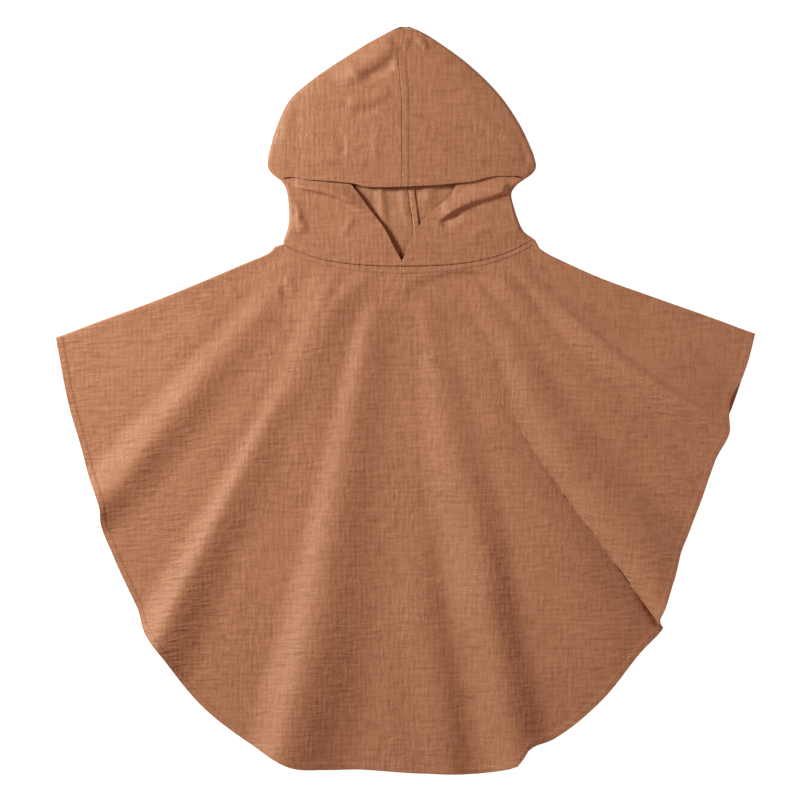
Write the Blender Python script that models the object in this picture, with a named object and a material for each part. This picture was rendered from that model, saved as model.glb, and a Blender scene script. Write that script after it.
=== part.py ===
"""Child's hooded bath poncho in cotton double gauze, laid out flat on its back.

Frame: metres, +Z up, X across the shoulders, Y from the hem up to the tip of the
hood. The origin is on the surface that the garment lies on, at the middle of its
outline. The back layer is flat on that surface and the front lies over it in six
soft flutes, which spread from the neck like a fan.

Places on the body are given round the fan's centre, which is where the lines of
the two shoulder folds meet: a reach from that centre in millimetres, and an angle
in degrees, 0 to the left, 90 down to the hem and 180 to the right.
"""

import bisect
import functools
import math
from typing import NamedTuple

import bmesh
import bpy
from mathutils import Vector

MM = 0.001

# Driving sizes, in millimetres.
CLOTH = 1.2             # wall of the double gauze
SAME_PLACE = 0.02       # rows that end within this distance of each other are joined
SEAM_GAP = 0.3          # between two pieces at a seam
NECK_GAP = 0.45         # the same at the neck, measured along the fan's reach
BACK_LEVEL = 0.6        # middle of the back layer, whose underside is at 0
FRONT_LEVEL = 2.4       # middle of the front layer where it lies on the back
FOLD_LIFT = 0.8         # the front stands this much higher beside a shoulder fold
FOLD_REST = 22.0        # from a shoulder fold to where the front has settled
FLUTE_START = 40.0      # from the neck seam to where a flute has its full rise
NECK_LIFT = 2.2         # the front stands this much higher at the neck seam
NECK_LIFT_POWER = 0.6   # how full that rise is towards the seam's ends
NECK_REST = 95.0        # from the neck seam to where the front has settled
NECK_CREASE = 1.7       # depth of the crosswise crease under the neck
NECK_CREASE_FOOT = 9.0
CREASE_POWER = 0.5      # how full a crease stays towards its ends
FAN_CENTRE = (0.0, 173.0)
PLACE = (-1.4, 0.3)     # from these drawing axes to the middle of the outline
HEM_REACH = 450.0       # where the columns of the fan are read for the hem

FOLD_FOOT = 0.08        # part of a panel beside a shoulder fold with closer columns
FOOT_STEPS = 4          # columns in each foot of a flute
PANEL_STEPS = 3         # columns between the feet of two flutes
BODY_ROWS = 18
FOLD_TURN = 5.0         # how fast the shoulder folds turn square to their line
NECK_FOLD_SLOPE = 0.55  # upward part of the way in which the folds bulge at the neck
BACK_COLUMNS = 22
FOLD_POINTS = 3         # between the two layers, round a fold

TERRACOTTA = (0.40, 0.165, 0.090, 1.0)


class Fan(NamedTuple):
    """Angles of the shoulder folds and of the six crests at one reach."""

    reach: float
    left_fold: float
    first: float
    second: float
    third: float
    fourth: float
    fifth: float
    sixth: float
    right_fold: float


FAN = (
    Fan(123, 14.4, 24.0, 48.0, 70.5, 103.0, 134.0, 155.0, 168.9),
    Fan(130, 16.3, 28.0, 51.0, 71.8, 103.0, 132.0, 153.0, 165.6),
    Fan(150, 17.4, 31.8, 53.8, 73.0, 103.0, 129.0, 150.0, 163.5),
    Fan(190, 18.6, 36.0, 56.0, 74.8, 102.0, 126.0, 147.0, 161.8),
    Fan(240, 19.4, 38.7, 57.2, 76.0, 101.7, 124.8, 145.2, 161.4),
    Fan(300, 19.6, 40.2, 58.2, 76.8, 101.4, 124.0, 145.4, 161.2),
    Fan(370, 19.8, 42.4, 58.7, 77.3, 100.8, 124.8, 146.0, 160.9),
    Fan(450, 19.8, 43.2, 60.0, 77.5, 100.7, 127.0, 146.0, 160.8),
)


class Flute(NamedTuple):
    """One soft fold: rise, foot widths and lean at three reaches, in millimetres."""

    near_rise: float
    mid_rise: float
    hem_rise: float
    mid_left: float
    mid_right: float
    hem_left: float
    hem_right: float
    mid_lean: float
    hem_lean: float


FLUTE_REACHES = (70, 130, 280, 450)     # where a flute starts, is near, half way, at the hem
NEAR_FOOT = 12.0        # foot width beside the neck
FLUTES = (
    Flute(3.0, 7.5, 11.0, 30, 26, 28, 26, 1, 2),
    Flute(4.5, 8.0, 15.0, 28, 24, 34, 28, 1, 4),
    Flute(4.0, 10.0, 16.0, 40, 34, 46, 40, 1, 4),
    Flute(2.0, 9.5, 15.0, 36, 34, 32, 25, 1, 18),
    Flute(1.5, 8.5, 13.0, 24, 30, 21, 34, -1, -36),
    Flute(2.5, 6.5, 9.0, 32, 20, 28, 14, 0, 2),
)


class Swell(NamedTuple):
    """Rise of the cloth half way between two folds, in millimetres."""

    mid_rise: float
    hem_rise: float


SWELL_REACHES = (110, 280, 450)
SWELLS = (
    Swell(3.0, 4.0),
    Swell(2.5, 4.0),
    Swell(2.5, 5.0),
    Swell(2.0, 5.0),
    Swell(2.5, 5.0),
    Swell(2.5, 4.0),
    Swell(2.0, 2.5),
)


class Edge(NamedTuple):
    """Reach of an edge of the body at one angle."""

    angle: float
    reach: float


FRONT_HEM = (
    Edge(19.7, 345), Edge(24, 350), Edge(30, 360), Edge(36, 371), Edge(40, 382),
    Edge(44, 394), Edge(46, 405), Edge(50, 419), Edge(56, 444), Edge(58, 459),
    Edge(62, 474), Edge(68, 497.5), Edge(74, 515), Edge(78, 526), Edge(82, 523),
    Edge(86, 519.5), Edge(92, 522), Edge(100.5, 526), Edge(102.5, 512), Edge(106, 509),
    Edge(112, 489.5), Edge(118, 465), Edge(122, 456), Edge(124.4, 447.5), Edge(127, 440),
    Edge(129.2, 424), Edge(131.5, 405), Edge(138, 381.5), Edge(142.3, 370),
    Edge(146, 365), Edge(148, 357), Edge(150.5, 350), Edge(154, 350.5), Edge(160.8, 346.5),
)
BACK_HEM = (
    Edge(19.7, 345), Edge(26, 348), Edge(40, 374), Edge(50, 409), Edge(62, 464),
    Edge(74, 505), Edge(90, 511), Edge(101, 512), Edge(112, 480), Edge(122, 446),
    Edge(132, 394), Edge(142, 362), Edge(148, 357), Edge(154, 351), Edge(160.8, 346.5),
)
NECK_MIDDLE = 125.0     # height of the neck seam at its middle
NECK_HALF = 115.0       # half the width of the neck seam
NECK_BOW = 8.5          # rise of the seam at its ends as a square of the way out
NECK_HOOK = 13.6        # and as the fourth power
NECK_ENDS = (14.4, 168.9)   # angles of its ends at the shoulder folds
NECK_SEARCH = (30.0, 150.0)     # reaches between which the seam is looked for
SEARCH_STEPS = 30
NECK_CREASE_LINE = (
    Edge(66, 90), Edge(78, 86), Edge(87, 84), Edge(95, 75), Edge(107, 71), Edge(118, 72),
    Edge(130, 76), Edge(140, 83), Edge(150, 92),
)


class SideRow(NamedTuple):
    """Outline of the hood at one height."""

    height: float
    left: float
    right: float


HOOD_SIDE = (
    SideRow(144.5, -111.6, 121.2), SideRow(150.0, -110.8, 119.2),
    SideRow(160, -108.9, 112.4), SideRow(171, -107.4, 107.5),
    SideRow(184, -107.9, 102.9), SideRow(195, -109.6, 100.5),
    SideRow(201, -112.0, 105.0), SideRow(205.7, -116.0, 112.0),
    SideRow(211, -123.0, 119.5), SideRow(217, -127.0, 123.4),
    SideRow(225, -127.2, 122.4),
    SideRow(235, -125.2, 118.9), SideRow(257, -118.4, 108.5),
    SideRow(281, -106.3, 92.7), SideRow(298, -87.3, 77.5),
    SideRow(313, -66.0, 61.2), SideRow(323, -50.3, 48.5),
    SideRow(333, -34.5, 34.2), SideRow(341, -19.8, 22.0),
    SideRow(346, -10.6, 12.2), SideRow(348.8, -4.5, 6.0),
)
CORNER_HEIGHT = 205.7   # where the edge of the face opening turns back at each side
TIP_HEIGHT = 348.8
CROWN_ROWS = (
    205.7, 209, 213, 218, 224, 233, 246, 262, 278, 293, 307, 319, 329, 337, 342.5, 346,
)
LAPEL_ROWS = 8
HOOD_TURN = 3.0         # how fast the hood's folds turn square to its outline
HOOD_COLUMNS = 10       # in each layer of a hood half


class SeamRow(NamedTuple):
    """Sideways place of the hood's centre seam at one height."""

    height: float
    front: float
    back: float


CENTRE_SEAM = (
    SeamRow(125, -1.9, 9.0), SeamRow(158, -1.9, 10.3), SeamRow(199, -2.3, 5.3),
    SeamRow(280, -2.3, 1.5), SeamRow(300, -3.8, 0.9), SeamRow(322, -5.0, 0.9),
    SeamRow(335, -0.5, 0.9), SeamRow(348.8, 0.9, 0.9),
)


class LapelRow(NamedTuple):
    """Edge of the face opening on both lapels at one height."""

    height: float
    left: float
    right: float


LAPELS = (
    LapelRow(125, -2.05, -1.75), LapelRow(130.5, -2.05, -1.75),
    LapelRow(141, -8.3, 3.2), LapelRow(155, -15.3, 9.8), LapelRow(163, -20, 14.2),
    LapelRow(172, -27, 21.5), LapelRow(181, -34, 31.5), LapelRow(190, -40.5, 43),
    LapelRow(201, -48.6, 48.6), LapelRow(212, -56, 55),
)


class HemPoint(NamedTuple):
    """Height of a crosswise edge of the hood at one place across it."""

    across: float
    height: float


CROWN_HEM = (
    HemPoint(-114.5, 205.7), HemPoint(-108, 207.0), HemPoint(-101, 206.9),
    HemPoint(-90, 205), HemPoint(-77, 204.3), HemPoint(-48.6, 202),
    HemPoint(-34.6, 198.8), HemPoint(-2, 198.8), HemPoint(10, 199.5),
    HemPoint(31, 200.4), HemPoint(48.6, 202), HemPoint(63.6, 203.4),
    HemPoint(81, 207.6), HemPoint(100, 208.0), HemPoint(108, 207.6),
    HemPoint(112.5, 205.7),
)
LAPEL_TOP = (
    HemPoint(-114.5, 205.7), HemPoint(-108, 203.2), HemPoint(-101, 202.4),
    HemPoint(-85, 208), HemPoint(-56, 211), HemPoint(55, 211), HemPoint(84, 209.5),
    HemPoint(100, 203.2), HemPoint(107, 203.6), HemPoint(112.5, 205.7),
)

CROWN_EDGE_LEVEL = 3.2  # middle of the crown beside its side fold
CROWN_EDGE_RISE = 8.0   # how fast that level is reached from the corner up
CROWN_HEM_FADE = 4      # power with which the rows above take up the hem's bend
CROWN_PUFF = 6.5        # rise of the crown's middle over that
CROWN_PUFF_POWER = 0.55     # how full that rise is towards the sides
CROWN_PUFF_REST = 60.0  # the rise fades over this height below the tip
TIP_HALF_WIDTH = 4.5    # half the width of the blunt tip
LAPEL_EDGE_LEVEL = 2.4      # middle of a lapel beside its side fold
LAPEL_LIFT = 1.2            # rise of a lapel over that, away from the neck seam
LAPEL_REST = 20.0           # from the neck seam to where a lapel has its full lift
LAPEL_TUCK_FROM = 197.0     # from here up the lapels lie lower, under the crown
LAPEL_TUCK = 7.0
LAPEL_TUCK_SHARE = 0.8      # part of their lift that they lose there


class Crease(NamedTuple):
    """A soft ridge between two places: rise and a width to each side of its line."""

    from_x: float
    from_y: float
    to_x: float
    to_y: float
    rise: float
    above: float
    below: float


LAPEL_CREASES = (
    Crease(-108, 202, -34, 176, 2.2, 12, 5),
    Crease(97, 197, 38, 174, 5.0, 13, 6),
    Crease(-101, 190, -92, 170, 1.8, 8, 6),
)
BACK_CREASES = (
    Crease(-22, 216, -19, 168, 2.0, 5, 5),
)


def read_curve(knots, at):
    """Value at one place of a smooth curve through (place, value) pairs."""
    places = [knot[0] for knot in knots]
    values = [knot[1] for knot in knots]
    if at <= places[0]:
        return values[0]
    if at >= places[-1]:
        return values[-1]
    low = bisect.bisect_right(places, at) - 1
    high = low + 1

    def slope(index):
        before = max(index - 1, 0)
        after = min(index + 1, len(places) - 1)
        return (values[after] - values[before]) / (places[after] - places[before])

    run = places[high] - places[low]
    part = (at - places[low]) / run
    rest = 1.0 - part
    return (
        values[low] * (1 + 2 * part) * rest * rest
        + values[high] * (1 + 2 * rest) * part * part
        + slope(low) * run * part * rest * rest
        - slope(high) * run * rest * part * part
    )


def blend(low, high, part):
    """Value a given part of the way from low to high."""
    return low + (high - low) * part


def ease(part):
    """Smooth step from 0 to 1."""
    part = min(max(part, 0.0), 1.0)
    return part * part * (3 - 2 * part)


def hump(offset, left, right):
    """Height of a smooth hump of height 1 with a foot width to each side."""
    part = -offset / left if offset < 0 else offset / right
    if part >= 1.0:
        return 0.0
    return math.cos(part * math.pi / 2) ** 2


# ------------------------------------------------------------------ the body


def fan_angle(column, reach):
    """Angle of a column at a reach; columns 0 and 7 are the shoulder folds."""
    low = min(int(column), len(FLUTES))
    curve_low = [(row.reach, row[1 + low]) for row in FAN]
    curve_high = [(row.reach, row[2 + low]) for row in FAN]
    return blend(read_curve(curve_low, reach), read_curve(curve_high, reach), column - low)


def flute_size(flute, reach):
    """Rise, left and right foot widths and lean of a flute at a reach."""

    def size_at(*sizes):
        return read_curve(tuple(zip(FLUTE_REACHES, sizes)), reach)

    rise = size_at(0.0, flute.near_rise, flute.mid_rise, flute.hem_rise)
    left = size_at(NEAR_FOOT, NEAR_FOOT, flute.mid_left, flute.hem_left)
    right = size_at(NEAR_FOOT, NEAR_FOOT, flute.mid_right, flute.hem_right)
    lean = size_at(0.0, 0.0, flute.mid_lean, flute.hem_lean)
    return rise, left, right, lean


def neck_height(x):
    """Height of the neck seam at a place across it."""
    part = x / NECK_HALF
    return NECK_MIDDLE + NECK_BOW * part**2 + NECK_HOOK * part**4


@functools.lru_cache(maxsize=None)
def neck_reach_at(angle):
    """Reach of the neck seam at an angle, found by halving."""
    low, high = NECK_SEARCH
    for _ in range(SEARCH_STEPS):
        middle = (low + high) / 2
        place = fan_place(angle, middle, 0.0) / MM
        if place.y > neck_height(place.x):
            low = middle
        else:
            high = middle
    return low


def neck_end(sign):
    """End of the neck seam at the left (-1) or right (1) shoulder fold, in millimetres."""
    angle = NECK_ENDS[0] if sign < 0 else NECK_ENDS[1]
    return fan_place(angle, neck_reach_at(angle), 0.0) / MM


def neck_lift(x, from_seam):
    """Rise of the front over the bulk of the neck seam, at a place across it."""
    left, right = (neck_end(sign).x for sign in (-1, 1))
    across = min(max((x - left) / (right - left), 0.0), 1.0)
    fullness = math.sin(math.pi * across) ** NECK_LIFT_POWER
    return NECK_LIFT * fullness * ease(1.0 - from_seam / NECK_REST)


def front_point(column, along):
    """Point of the body's front layer, along from 0 at the neck to 1 at the hem."""
    hem_reach = read_curve(FRONT_HEM, fan_angle(column, HEM_REACH))
    neck_reach = neck_reach_at(fan_angle(column, FAN[0].reach)) + NECK_GAP
    reach = blend(neck_reach, hem_reach, along)
    angle = fan_angle(column, reach)
    per_degree = reach * math.pi / 180
    low = min(int(column), len(FLUTES))

    level = FRONT_LEVEL
    sideways = 0.0
    feet = []
    for number in (low, low + 1):
        offset = (angle - fan_angle(number, reach)) * per_degree
        if 1 <= number <= len(FLUTES):
            rise, left, right, lean = flute_size(FLUTES[number - 1], reach)
            share = hump(offset, left, right) * ease((reach - neck_reach) / FLUTE_START)
            level += rise * share
            sideways += lean * share
            feet.append(right if number == low else left)
        else:
            feet.append(0.0)
            level += FOLD_LIFT * math.exp(-abs(offset) / FOLD_REST) * math.sqrt(along)
    span = (fan_angle(low + 1, reach) - fan_angle(low, reach)) * per_degree
    room = span - feet[0] - feet[1]
    into = (angle - fan_angle(low, reach)) * per_degree - feet[0]
    if 0 < into < room:
        swell = SWELLS[low]
        start, middle, hem = SWELL_REACHES
        lift = read_curve(((start, 0.0), (middle, swell.mid_rise), (hem, swell.hem_rise)), reach)
        level += lift * math.sin(math.pi * into / room) ** 2

    flat = fan_place(angle, reach, 0.0) / MM
    level += neck_lift(flat.x, reach - neck_reach)
    if NECK_CREASE_LINE[0].angle < angle < NECK_CREASE_LINE[-1].angle:
        from_line = reach - read_curve(NECK_CREASE_LINE, angle)
        into_line = (angle - NECK_CREASE_LINE[0].angle) / (
            NECK_CREASE_LINE[-1].angle - NECK_CREASE_LINE[0].angle
        )
        depth = NECK_CREASE * math.sin(math.pi * into_line) ** CREASE_POWER
        level -= depth * hump(from_line, NECK_CREASE_FOOT, NECK_CREASE_FOOT)
    return fan_place(angle + sideways / per_degree, reach, level)


def front_columns():
    """Columns of the front layer: close on the flutes, wider between them."""
    columns = [0.0]
    for low in range(len(FLUTES) + 1):
        span = (fan_angle(low + 1, HEM_REACH) - fan_angle(low, HEM_REACH)) * math.pi / 180
        span *= HEM_REACH
        right_foot = FLUTES[low - 1].hem_right / span if low > 0 else FOLD_FOOT
        left_foot = FLUTES[low].hem_left / span if low < len(FLUTES) else FOLD_FOOT
        for step in range(1, FOOT_STEPS + 1):
            columns.append(low + right_foot * step / FOOT_STEPS)
        between = 1.0 - right_foot - left_foot
        for step in range(1, PANEL_STEPS):
            columns.append(low + right_foot + between * step / PANEL_STEPS)
        for step in range(FOOT_STEPS + 1):
            columns.append(low + 1 - left_foot * (FOOT_STEPS - step) / FOOT_STEPS)
    return columns


def fan_place(angle, reach, level):
    """Point at an angle and reach round the fan's centre, in metres."""
    turn = math.radians(angle)
    x = FAN_CENTRE[0] - reach * math.cos(turn)
    y = FAN_CENTRE[1] - reach * math.sin(turn)
    return Vector((x, y, level)) * MM


def back_point(across, along):
    """Point of the body's back layer, across from 0 at the right fold to 1 at the left."""
    reach_at_fold = blend(neck_reach_at(NECK_ENDS[1]), BACK_HEM[-1].reach, along)
    right = fan_angle(len(FLUTES) + 1, reach_at_fold)
    left = fan_angle(0, reach_at_fold)
    neck_x = blend(neck_end(1).x, neck_end(-1).x, across)
    neck_angle = math.degrees(math.atan2(FAN_CENTRE[1] - neck_height(neck_x), -neck_x))
    turned = (neck_angle - NECK_ENDS[1]) / (NECK_ENDS[0] - NECK_ENDS[1])
    neck_reach = neck_reach_at(neck_angle) + NECK_GAP
    hem_angle = blend(fan_angle(len(FLUTES) + 1, HEM_REACH), fan_angle(0, HEM_REACH), turned)
    reach = blend(neck_reach, read_curve(BACK_HEM, hem_angle), along)
    return fan_place(blend(right, left, turned), reach, BACK_LEVEL)


def fold_between(start, end, outward):
    """Points round a half circle from one layer to the other, ends left out."""
    middle = (start + end) / 2
    half = (end - start) / 2
    size = half.length
    points = []
    for number in range(1, FOLD_POINTS + 1):
        turn = math.pi * number / (FOLD_POINTS + 1)
        points.append(middle - half * math.cos(turn) + outward * size * math.sin(turn))
    return points


def body_ring(along):
    """Closed section of the body round both layers, at one place down the garment."""
    front = [front_point(column, along) for column in front_columns()]
    back = [back_point(number / BACK_COLUMNS, along) for number in range(BACK_COLUMNS + 1)]
    back[0] = Vector((front[-1].x, front[-1].y, BACK_LEVEL * MM))
    back[-1] = Vector((front[0].x, front[0].y, BACK_LEVEL * MM))
    turn = ease(along * FOLD_TURN)
    right_out = fold_direction(front[-1] - front[-2], 1.0, turn)
    left_out = fold_direction(front[0] - front[1], -1.0, turn)
    right_fold = fold_between(front[-1], back[0], right_out)
    left_fold = fold_between(back[-1], front[0], left_out)
    return front + right_fold + back + left_fold


def fold_direction(across, sign, turn):
    """Level direction in which a side fold bulges, from the neck's own at turn 0."""
    at_neck = Vector((sign, NECK_FOLD_SLOPE, 0.0)).normalized()
    across = Vector((across.x, across.y, 0.0)).normalized()
    return at_neck.lerp(across, turn).normalized()


# ------------------------------------------------------------------ the hood


def crease_rise(creases, x, y):
    """Rise of the soft ridges at a place on a layer of the hood."""
    total = 0.0
    for crease in creases:
        start = Vector((crease.from_x, crease.from_y))
        run = Vector((crease.to_x, crease.to_y)) - start
        offset = Vector((x, y)) - start
        along = offset.dot(run) / run.length_squared
        if not 0.0 < along < 1.0:
            continue
        aside = (run.x * offset.y - run.y * offset.x) / run.length
        if run.x < 0:
            aside = -aside
        share = hump(-aside, crease.above, crease.below)
        total += crease.rise * share * math.sin(math.pi * along) ** CREASE_POWER
    return total


def side_at(height, sign):
    """Outline of the hood at a height, on the left (-1) or the right (1)."""
    column = 1 if sign < 0 else 2
    return read_curve([(row.height, row[column]) for row in HOOD_SIDE], height)


def seam_at(height, layer):
    """Sideways place of the centre seam at a height, on the front or the back."""
    column = 1 if layer == "front" else 2
    return read_curve([(row.height, row[column]) for row in CENTRE_SEAM], height)


def crown_puff(x, height):
    """Rise of the crown's cloth over its side folds."""
    left = side_at(height, -1)
    right = side_at(height, 1)
    part = min(max((x - left) / (right - left), 0.0), 1.0)
    to_tip = min((TIP_HEIGHT - height) / CROWN_PUFF_REST, 1.0)
    fullness = math.sin(math.pi * part) ** CROWN_PUFF_POWER
    return CROWN_PUFF * fullness * math.sin(to_tip * math.pi / 2)


def lapel_level(x, y):
    """Middle of a lapel's cloth over the surface."""
    from_seam = max(y - neck_height(x), 0.0)
    part = min(from_seam / LAPEL_REST, 1.0)
    lift = LAPEL_LIFT * part * part + crease_rise(LAPEL_CREASES, x, y)
    lost = LAPEL_TUCK_SHARE * ease((y - LAPEL_TUCK_FROM) / LAPEL_TUCK)
    return LAPEL_EDGE_LEVEL + neck_lift(x, from_seam) + lift * (1.0 - lost)


def outline_out(height, sign):
    """Direction square to the hood's outline at a height, away from the hood."""
    step = 1.0
    low = max(height - step, HOOD_SIDE[0].height)
    high = min(height + step, HOOD_SIDE[-1].height)
    drift = side_at(high, sign) - side_at(low, sign)
    return Vector((sign * (high - low), -sign * drift, 0.0)).normalized()


def hood_row(sign, height, turn, seam, front_end, front_place, back_place, edge_level):
    """Section of a hood half: back seam, side fold and on to its front end."""
    out = fold_direction(outline_out(height, sign), sign, turn)
    inward = ((edge_level - BACK_LEVEL) / 2 + CLOTH / 2) * turn
    side = side_at(height, sign) - out.x * inward
    rise = -out.y * inward
    back = []
    front = []
    for number in range(HOOD_COLUMNS + 1):
        step = number / HOOD_COLUMNS
        back.append(back_place(blend(seam, side, step)))
        back[-1].y += rise * step * step * MM
        front.append(front_place(blend(side, front_end, step)))
        front[-1].y += rise * (1.0 - step) ** 2 * MM
    front[0] = Vector((back[-1].x, back[-1].y, edge_level * MM))
    return back + fold_between(back[-1], front[0], out) + front


def back_level(x, y):
    """Middle of the hood's back layer over the surface."""
    return BACK_LEVEL + crease_rise(BACK_CREASES, x, y)


def lapel_section(sign, part):
    """Row of the hood below the face opening's corner, part 0 at the neck."""
    height = blend(neck_end(sign).y, CORNER_HEIGHT, part)
    seam = seam_at(blend(NECK_MIDDLE, CORNER_HEIGHT, part), "back") + sign * SEAM_GAP / 2
    edge_column = 1 if sign < 0 else 2
    edge_curve = [(row.height, row[edge_column]) for row in LAPELS]
    front_end = read_curve(edge_curve, blend(LAPELS[0].height, LAPELS[-1].height, part))

    def front_place(x):
        y = blend(neck_height(x), read_curve(LAPEL_TOP, x), part)
        return Vector((x, y, lapel_level(x, y))) * MM

    def back_place(x):
        y = blend(neck_height(x), CORNER_HEIGHT, part)
        return Vector((x, y, back_level(x, y))) * MM

    return hood_row(
        sign, height, ease(part * HOOD_TURN), seam, front_end, front_place, back_place,
        LAPEL_EDGE_LEVEL,
    )


def crown_section(sign, height):
    """Row of the hood above the face opening's corner."""
    part = (height - CORNER_HEIGHT) / (TIP_HEIGHT - CORNER_HEIGHT)
    fade = (1.0 - part) ** CROWN_HEM_FADE
    edge_level = blend(LAPEL_EDGE_LEVEL, CROWN_EDGE_LEVEL, min(part * CROWN_EDGE_RISE, 1.0))
    seam = seam_at(height, "back") + sign * SEAM_GAP / 2
    front_end = seam_at(height, "front") + sign * SEAM_GAP / 2

    def front_place(x):
        y = height + (read_curve(CROWN_HEM, x) - CORNER_HEIGHT) * fade
        return Vector((x, y, edge_level + crown_puff(x, height))) * MM

    def back_place(x):
        return Vector((x, height, back_level(x, height))) * MM

    return hood_row(sign, height, 1.0, seam, front_end, front_place, back_place, edge_level)


def tip_section(sign):
    """Last row of the hood, where front and back meet in the fold over the tip."""
    height = TIP_HEIGHT - CLOTH / 2
    middle = (BACK_LEVEL + CROWN_EDGE_LEVEL) / 2
    seam = seam_at(height, "back") + sign * SEAM_GAP / 2
    side = seam + sign * TIP_HALF_WIDTH
    steps = [number / HOOD_COLUMNS for number in range(HOOD_COLUMNS + 1)]
    out = [Vector((blend(seam, side, step), height, middle)) * MM for step in steps]
    return out + [out[-1].copy() for _ in range(FOLD_POINTS)] + out[::-1]


# ------------------------------------------------------------------ building


def add_rows(mesh, rows):
    """Cloth through the given rows of points."""
    columns = len(rows[0])
    made = bmesh.ops.create_grid(mesh, x_segments=columns - 1, y_segments=len(rows) - 1, size=0.5)
    ordered = sorted(made["verts"], key=lambda vert: (round(vert.co.y, 5), vert.co.x))
    for index, vert in enumerate(ordered):
        vert.co = rows[index // columns][index % columns]


def make_material():
    """Terracotta cotton."""
    material = bpy.data.materials.new("double_gauze")
    material.use_nodes = True
    shader = material.node_tree.nodes["Principled BSDF"]
    shader.inputs["Base Color"].default_value = TERRACOTTA
    shader.inputs["Roughness"].default_value = 0.95
    shader.inputs["Metallic"].default_value = 0.0
    return material


def add_piece(name, sheets, material):
    """Object of one sewn piece: its rows joined into a sheet, given the cloth's wall."""
    mesh = bmesh.new()
    for rows in sheets:
        add_rows(mesh, rows)
    bmesh.ops.remove_doubles(mesh, verts=mesh.verts, dist=SAME_PLACE * MM)
    bmesh.ops.recalc_face_normals(mesh, faces=mesh.faces)
    data = bpy.data.meshes.new(name)
    mesh.to_mesh(data)
    mesh.free()
    data.materials.append(material)
    piece = bpy.data.objects.new(name, data)
    piece.location = Vector((*PLACE, 0.0)) * MM
    bpy.context.collection.objects.link(piece)
    wall = piece.modifiers.new("wall", "SOLIDIFY")
    wall.thickness = CLOTH * MM
    wall.offset = 0.0
    return piece


def make_body(material):
    """Body of the poncho: one piece of cloth, folded at both shoulders."""
    rows = []
    for number in range(BODY_ROWS + 1):
        ring = body_ring(number / BODY_ROWS)
        rows.append(ring + [ring[0].copy()])
    return add_piece("poncho_body", [rows], material)


def make_hood_half(name, sign, material):
    """One half of the hood, folded at its side; the face opening is its slit."""
    lower = [lapel_section(sign, number / LAPEL_ROWS) for number in range(LAPEL_ROWS + 1)]
    upper = [crown_section(sign, height) for height in CROWN_ROWS]
    upper.append(tip_section(sign))
    return add_piece(name, [lower, upper], material)


def main():
    """Build the poncho's three pieces."""
    for old in list(bpy.data.objects):
        bpy.data.objects.remove(old, do_unlink=True)
    material = make_material()
    make_body(material)
    make_hood_half("hood_left", -1, material)
    make_hood_half("hood_right", 1, material)


main()
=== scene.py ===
"""Looks of a child's hooded bath poncho in terracotta double gauze, laid out flat.

Sizes are in millimetres on the pattern's own axes: X across the shoulders, Y from the
hem to the tip of the hood, Z up from the surface that the garment lies on. Places on
the body are given round the centre of the fan that its flutes make: a reach from that
centre, and an angle in degrees, 0 to the left, 90 down to the hem and 180 to the right.
"""

from __future__ import annotations

import logging
import math
from dataclasses import dataclass
from enum import Enum
from typing import Callable, Sequence, Union

import bmesh
import bpy
import numpy as np
from mathutils import Matrix, Vector

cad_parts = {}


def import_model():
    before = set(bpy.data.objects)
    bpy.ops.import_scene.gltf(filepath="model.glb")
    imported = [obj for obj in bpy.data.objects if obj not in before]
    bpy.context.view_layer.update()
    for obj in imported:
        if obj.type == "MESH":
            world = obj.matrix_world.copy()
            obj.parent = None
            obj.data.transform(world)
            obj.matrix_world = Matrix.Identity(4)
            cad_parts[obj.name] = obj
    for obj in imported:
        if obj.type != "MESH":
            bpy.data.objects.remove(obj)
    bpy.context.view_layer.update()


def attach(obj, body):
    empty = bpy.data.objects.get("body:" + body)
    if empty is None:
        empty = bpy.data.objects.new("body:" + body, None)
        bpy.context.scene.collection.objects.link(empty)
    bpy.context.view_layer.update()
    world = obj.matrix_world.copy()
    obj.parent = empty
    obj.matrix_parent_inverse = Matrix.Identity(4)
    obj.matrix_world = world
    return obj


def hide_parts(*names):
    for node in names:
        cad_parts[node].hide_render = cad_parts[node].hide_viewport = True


LOG = logging.getLogger("poncho")
Field = np.ndarray
Knots = Sequence[tuple[float, ...]]
Colour = tuple[float, float, float]
Finish = bpy.types.Material
Socket = bpy.types.NodeSocket
Value = Union[Socket, float, tuple[float, ...]]

MM = 0.001
CLOTH = 1.2             # wall of the double gauze
SEAM_GAP = 0.3          # between two pieces at a seam
NECK_GAP = 0.62         # the same at the neck, along the fan's reach
BACK_LEVEL = 0.6        # middle of the layer that lies on the surface
FRONT_LEVEL = 2.4       # middle of the upper layer before anything raises it
LIFT_OFF = 0.1          # least room between the front layer and the back layer
LOWEST_FRONT = BACK_LEVEL + CLOTH + LIFT_OFF
THREAD_LIFT = 0.05      # middle of a thread over the face of the cloth
PLACE = (-1.4, 0.3)     # from the pattern's axes to the middle of the outline
FAN_CENTRE = (0.0, 173.0)
BODY_BACK_ON_CUT = 900.0    # on the flat cut the body's back is turned over, to this less its Y
HOOD_BACK_ON_CUT = 600.0    # on the flat cut the hood's back is moved on by this along Y
SAME_PLACE = 0.02       # rows that end within this distance of each other are joined
TINY = 1e-6             # keeps a width from being zero


class Side(Enum):
    """Half of the garment that a piece belongs to, with its sign along X."""

    LEFT = -1
    RIGHT = 1

    @property
    def column(self) -> int:
        """Column of this side in a table of places on the left and on the right."""
        return 1 if self is Side.LEFT else 2


class Layer(Enum):
    """Layer of the garment as it lies, with its column in a table of front and back."""

    FRONT = 1
    BACK = 2


# ---------------------------------------------------------------- curves and forms


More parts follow.
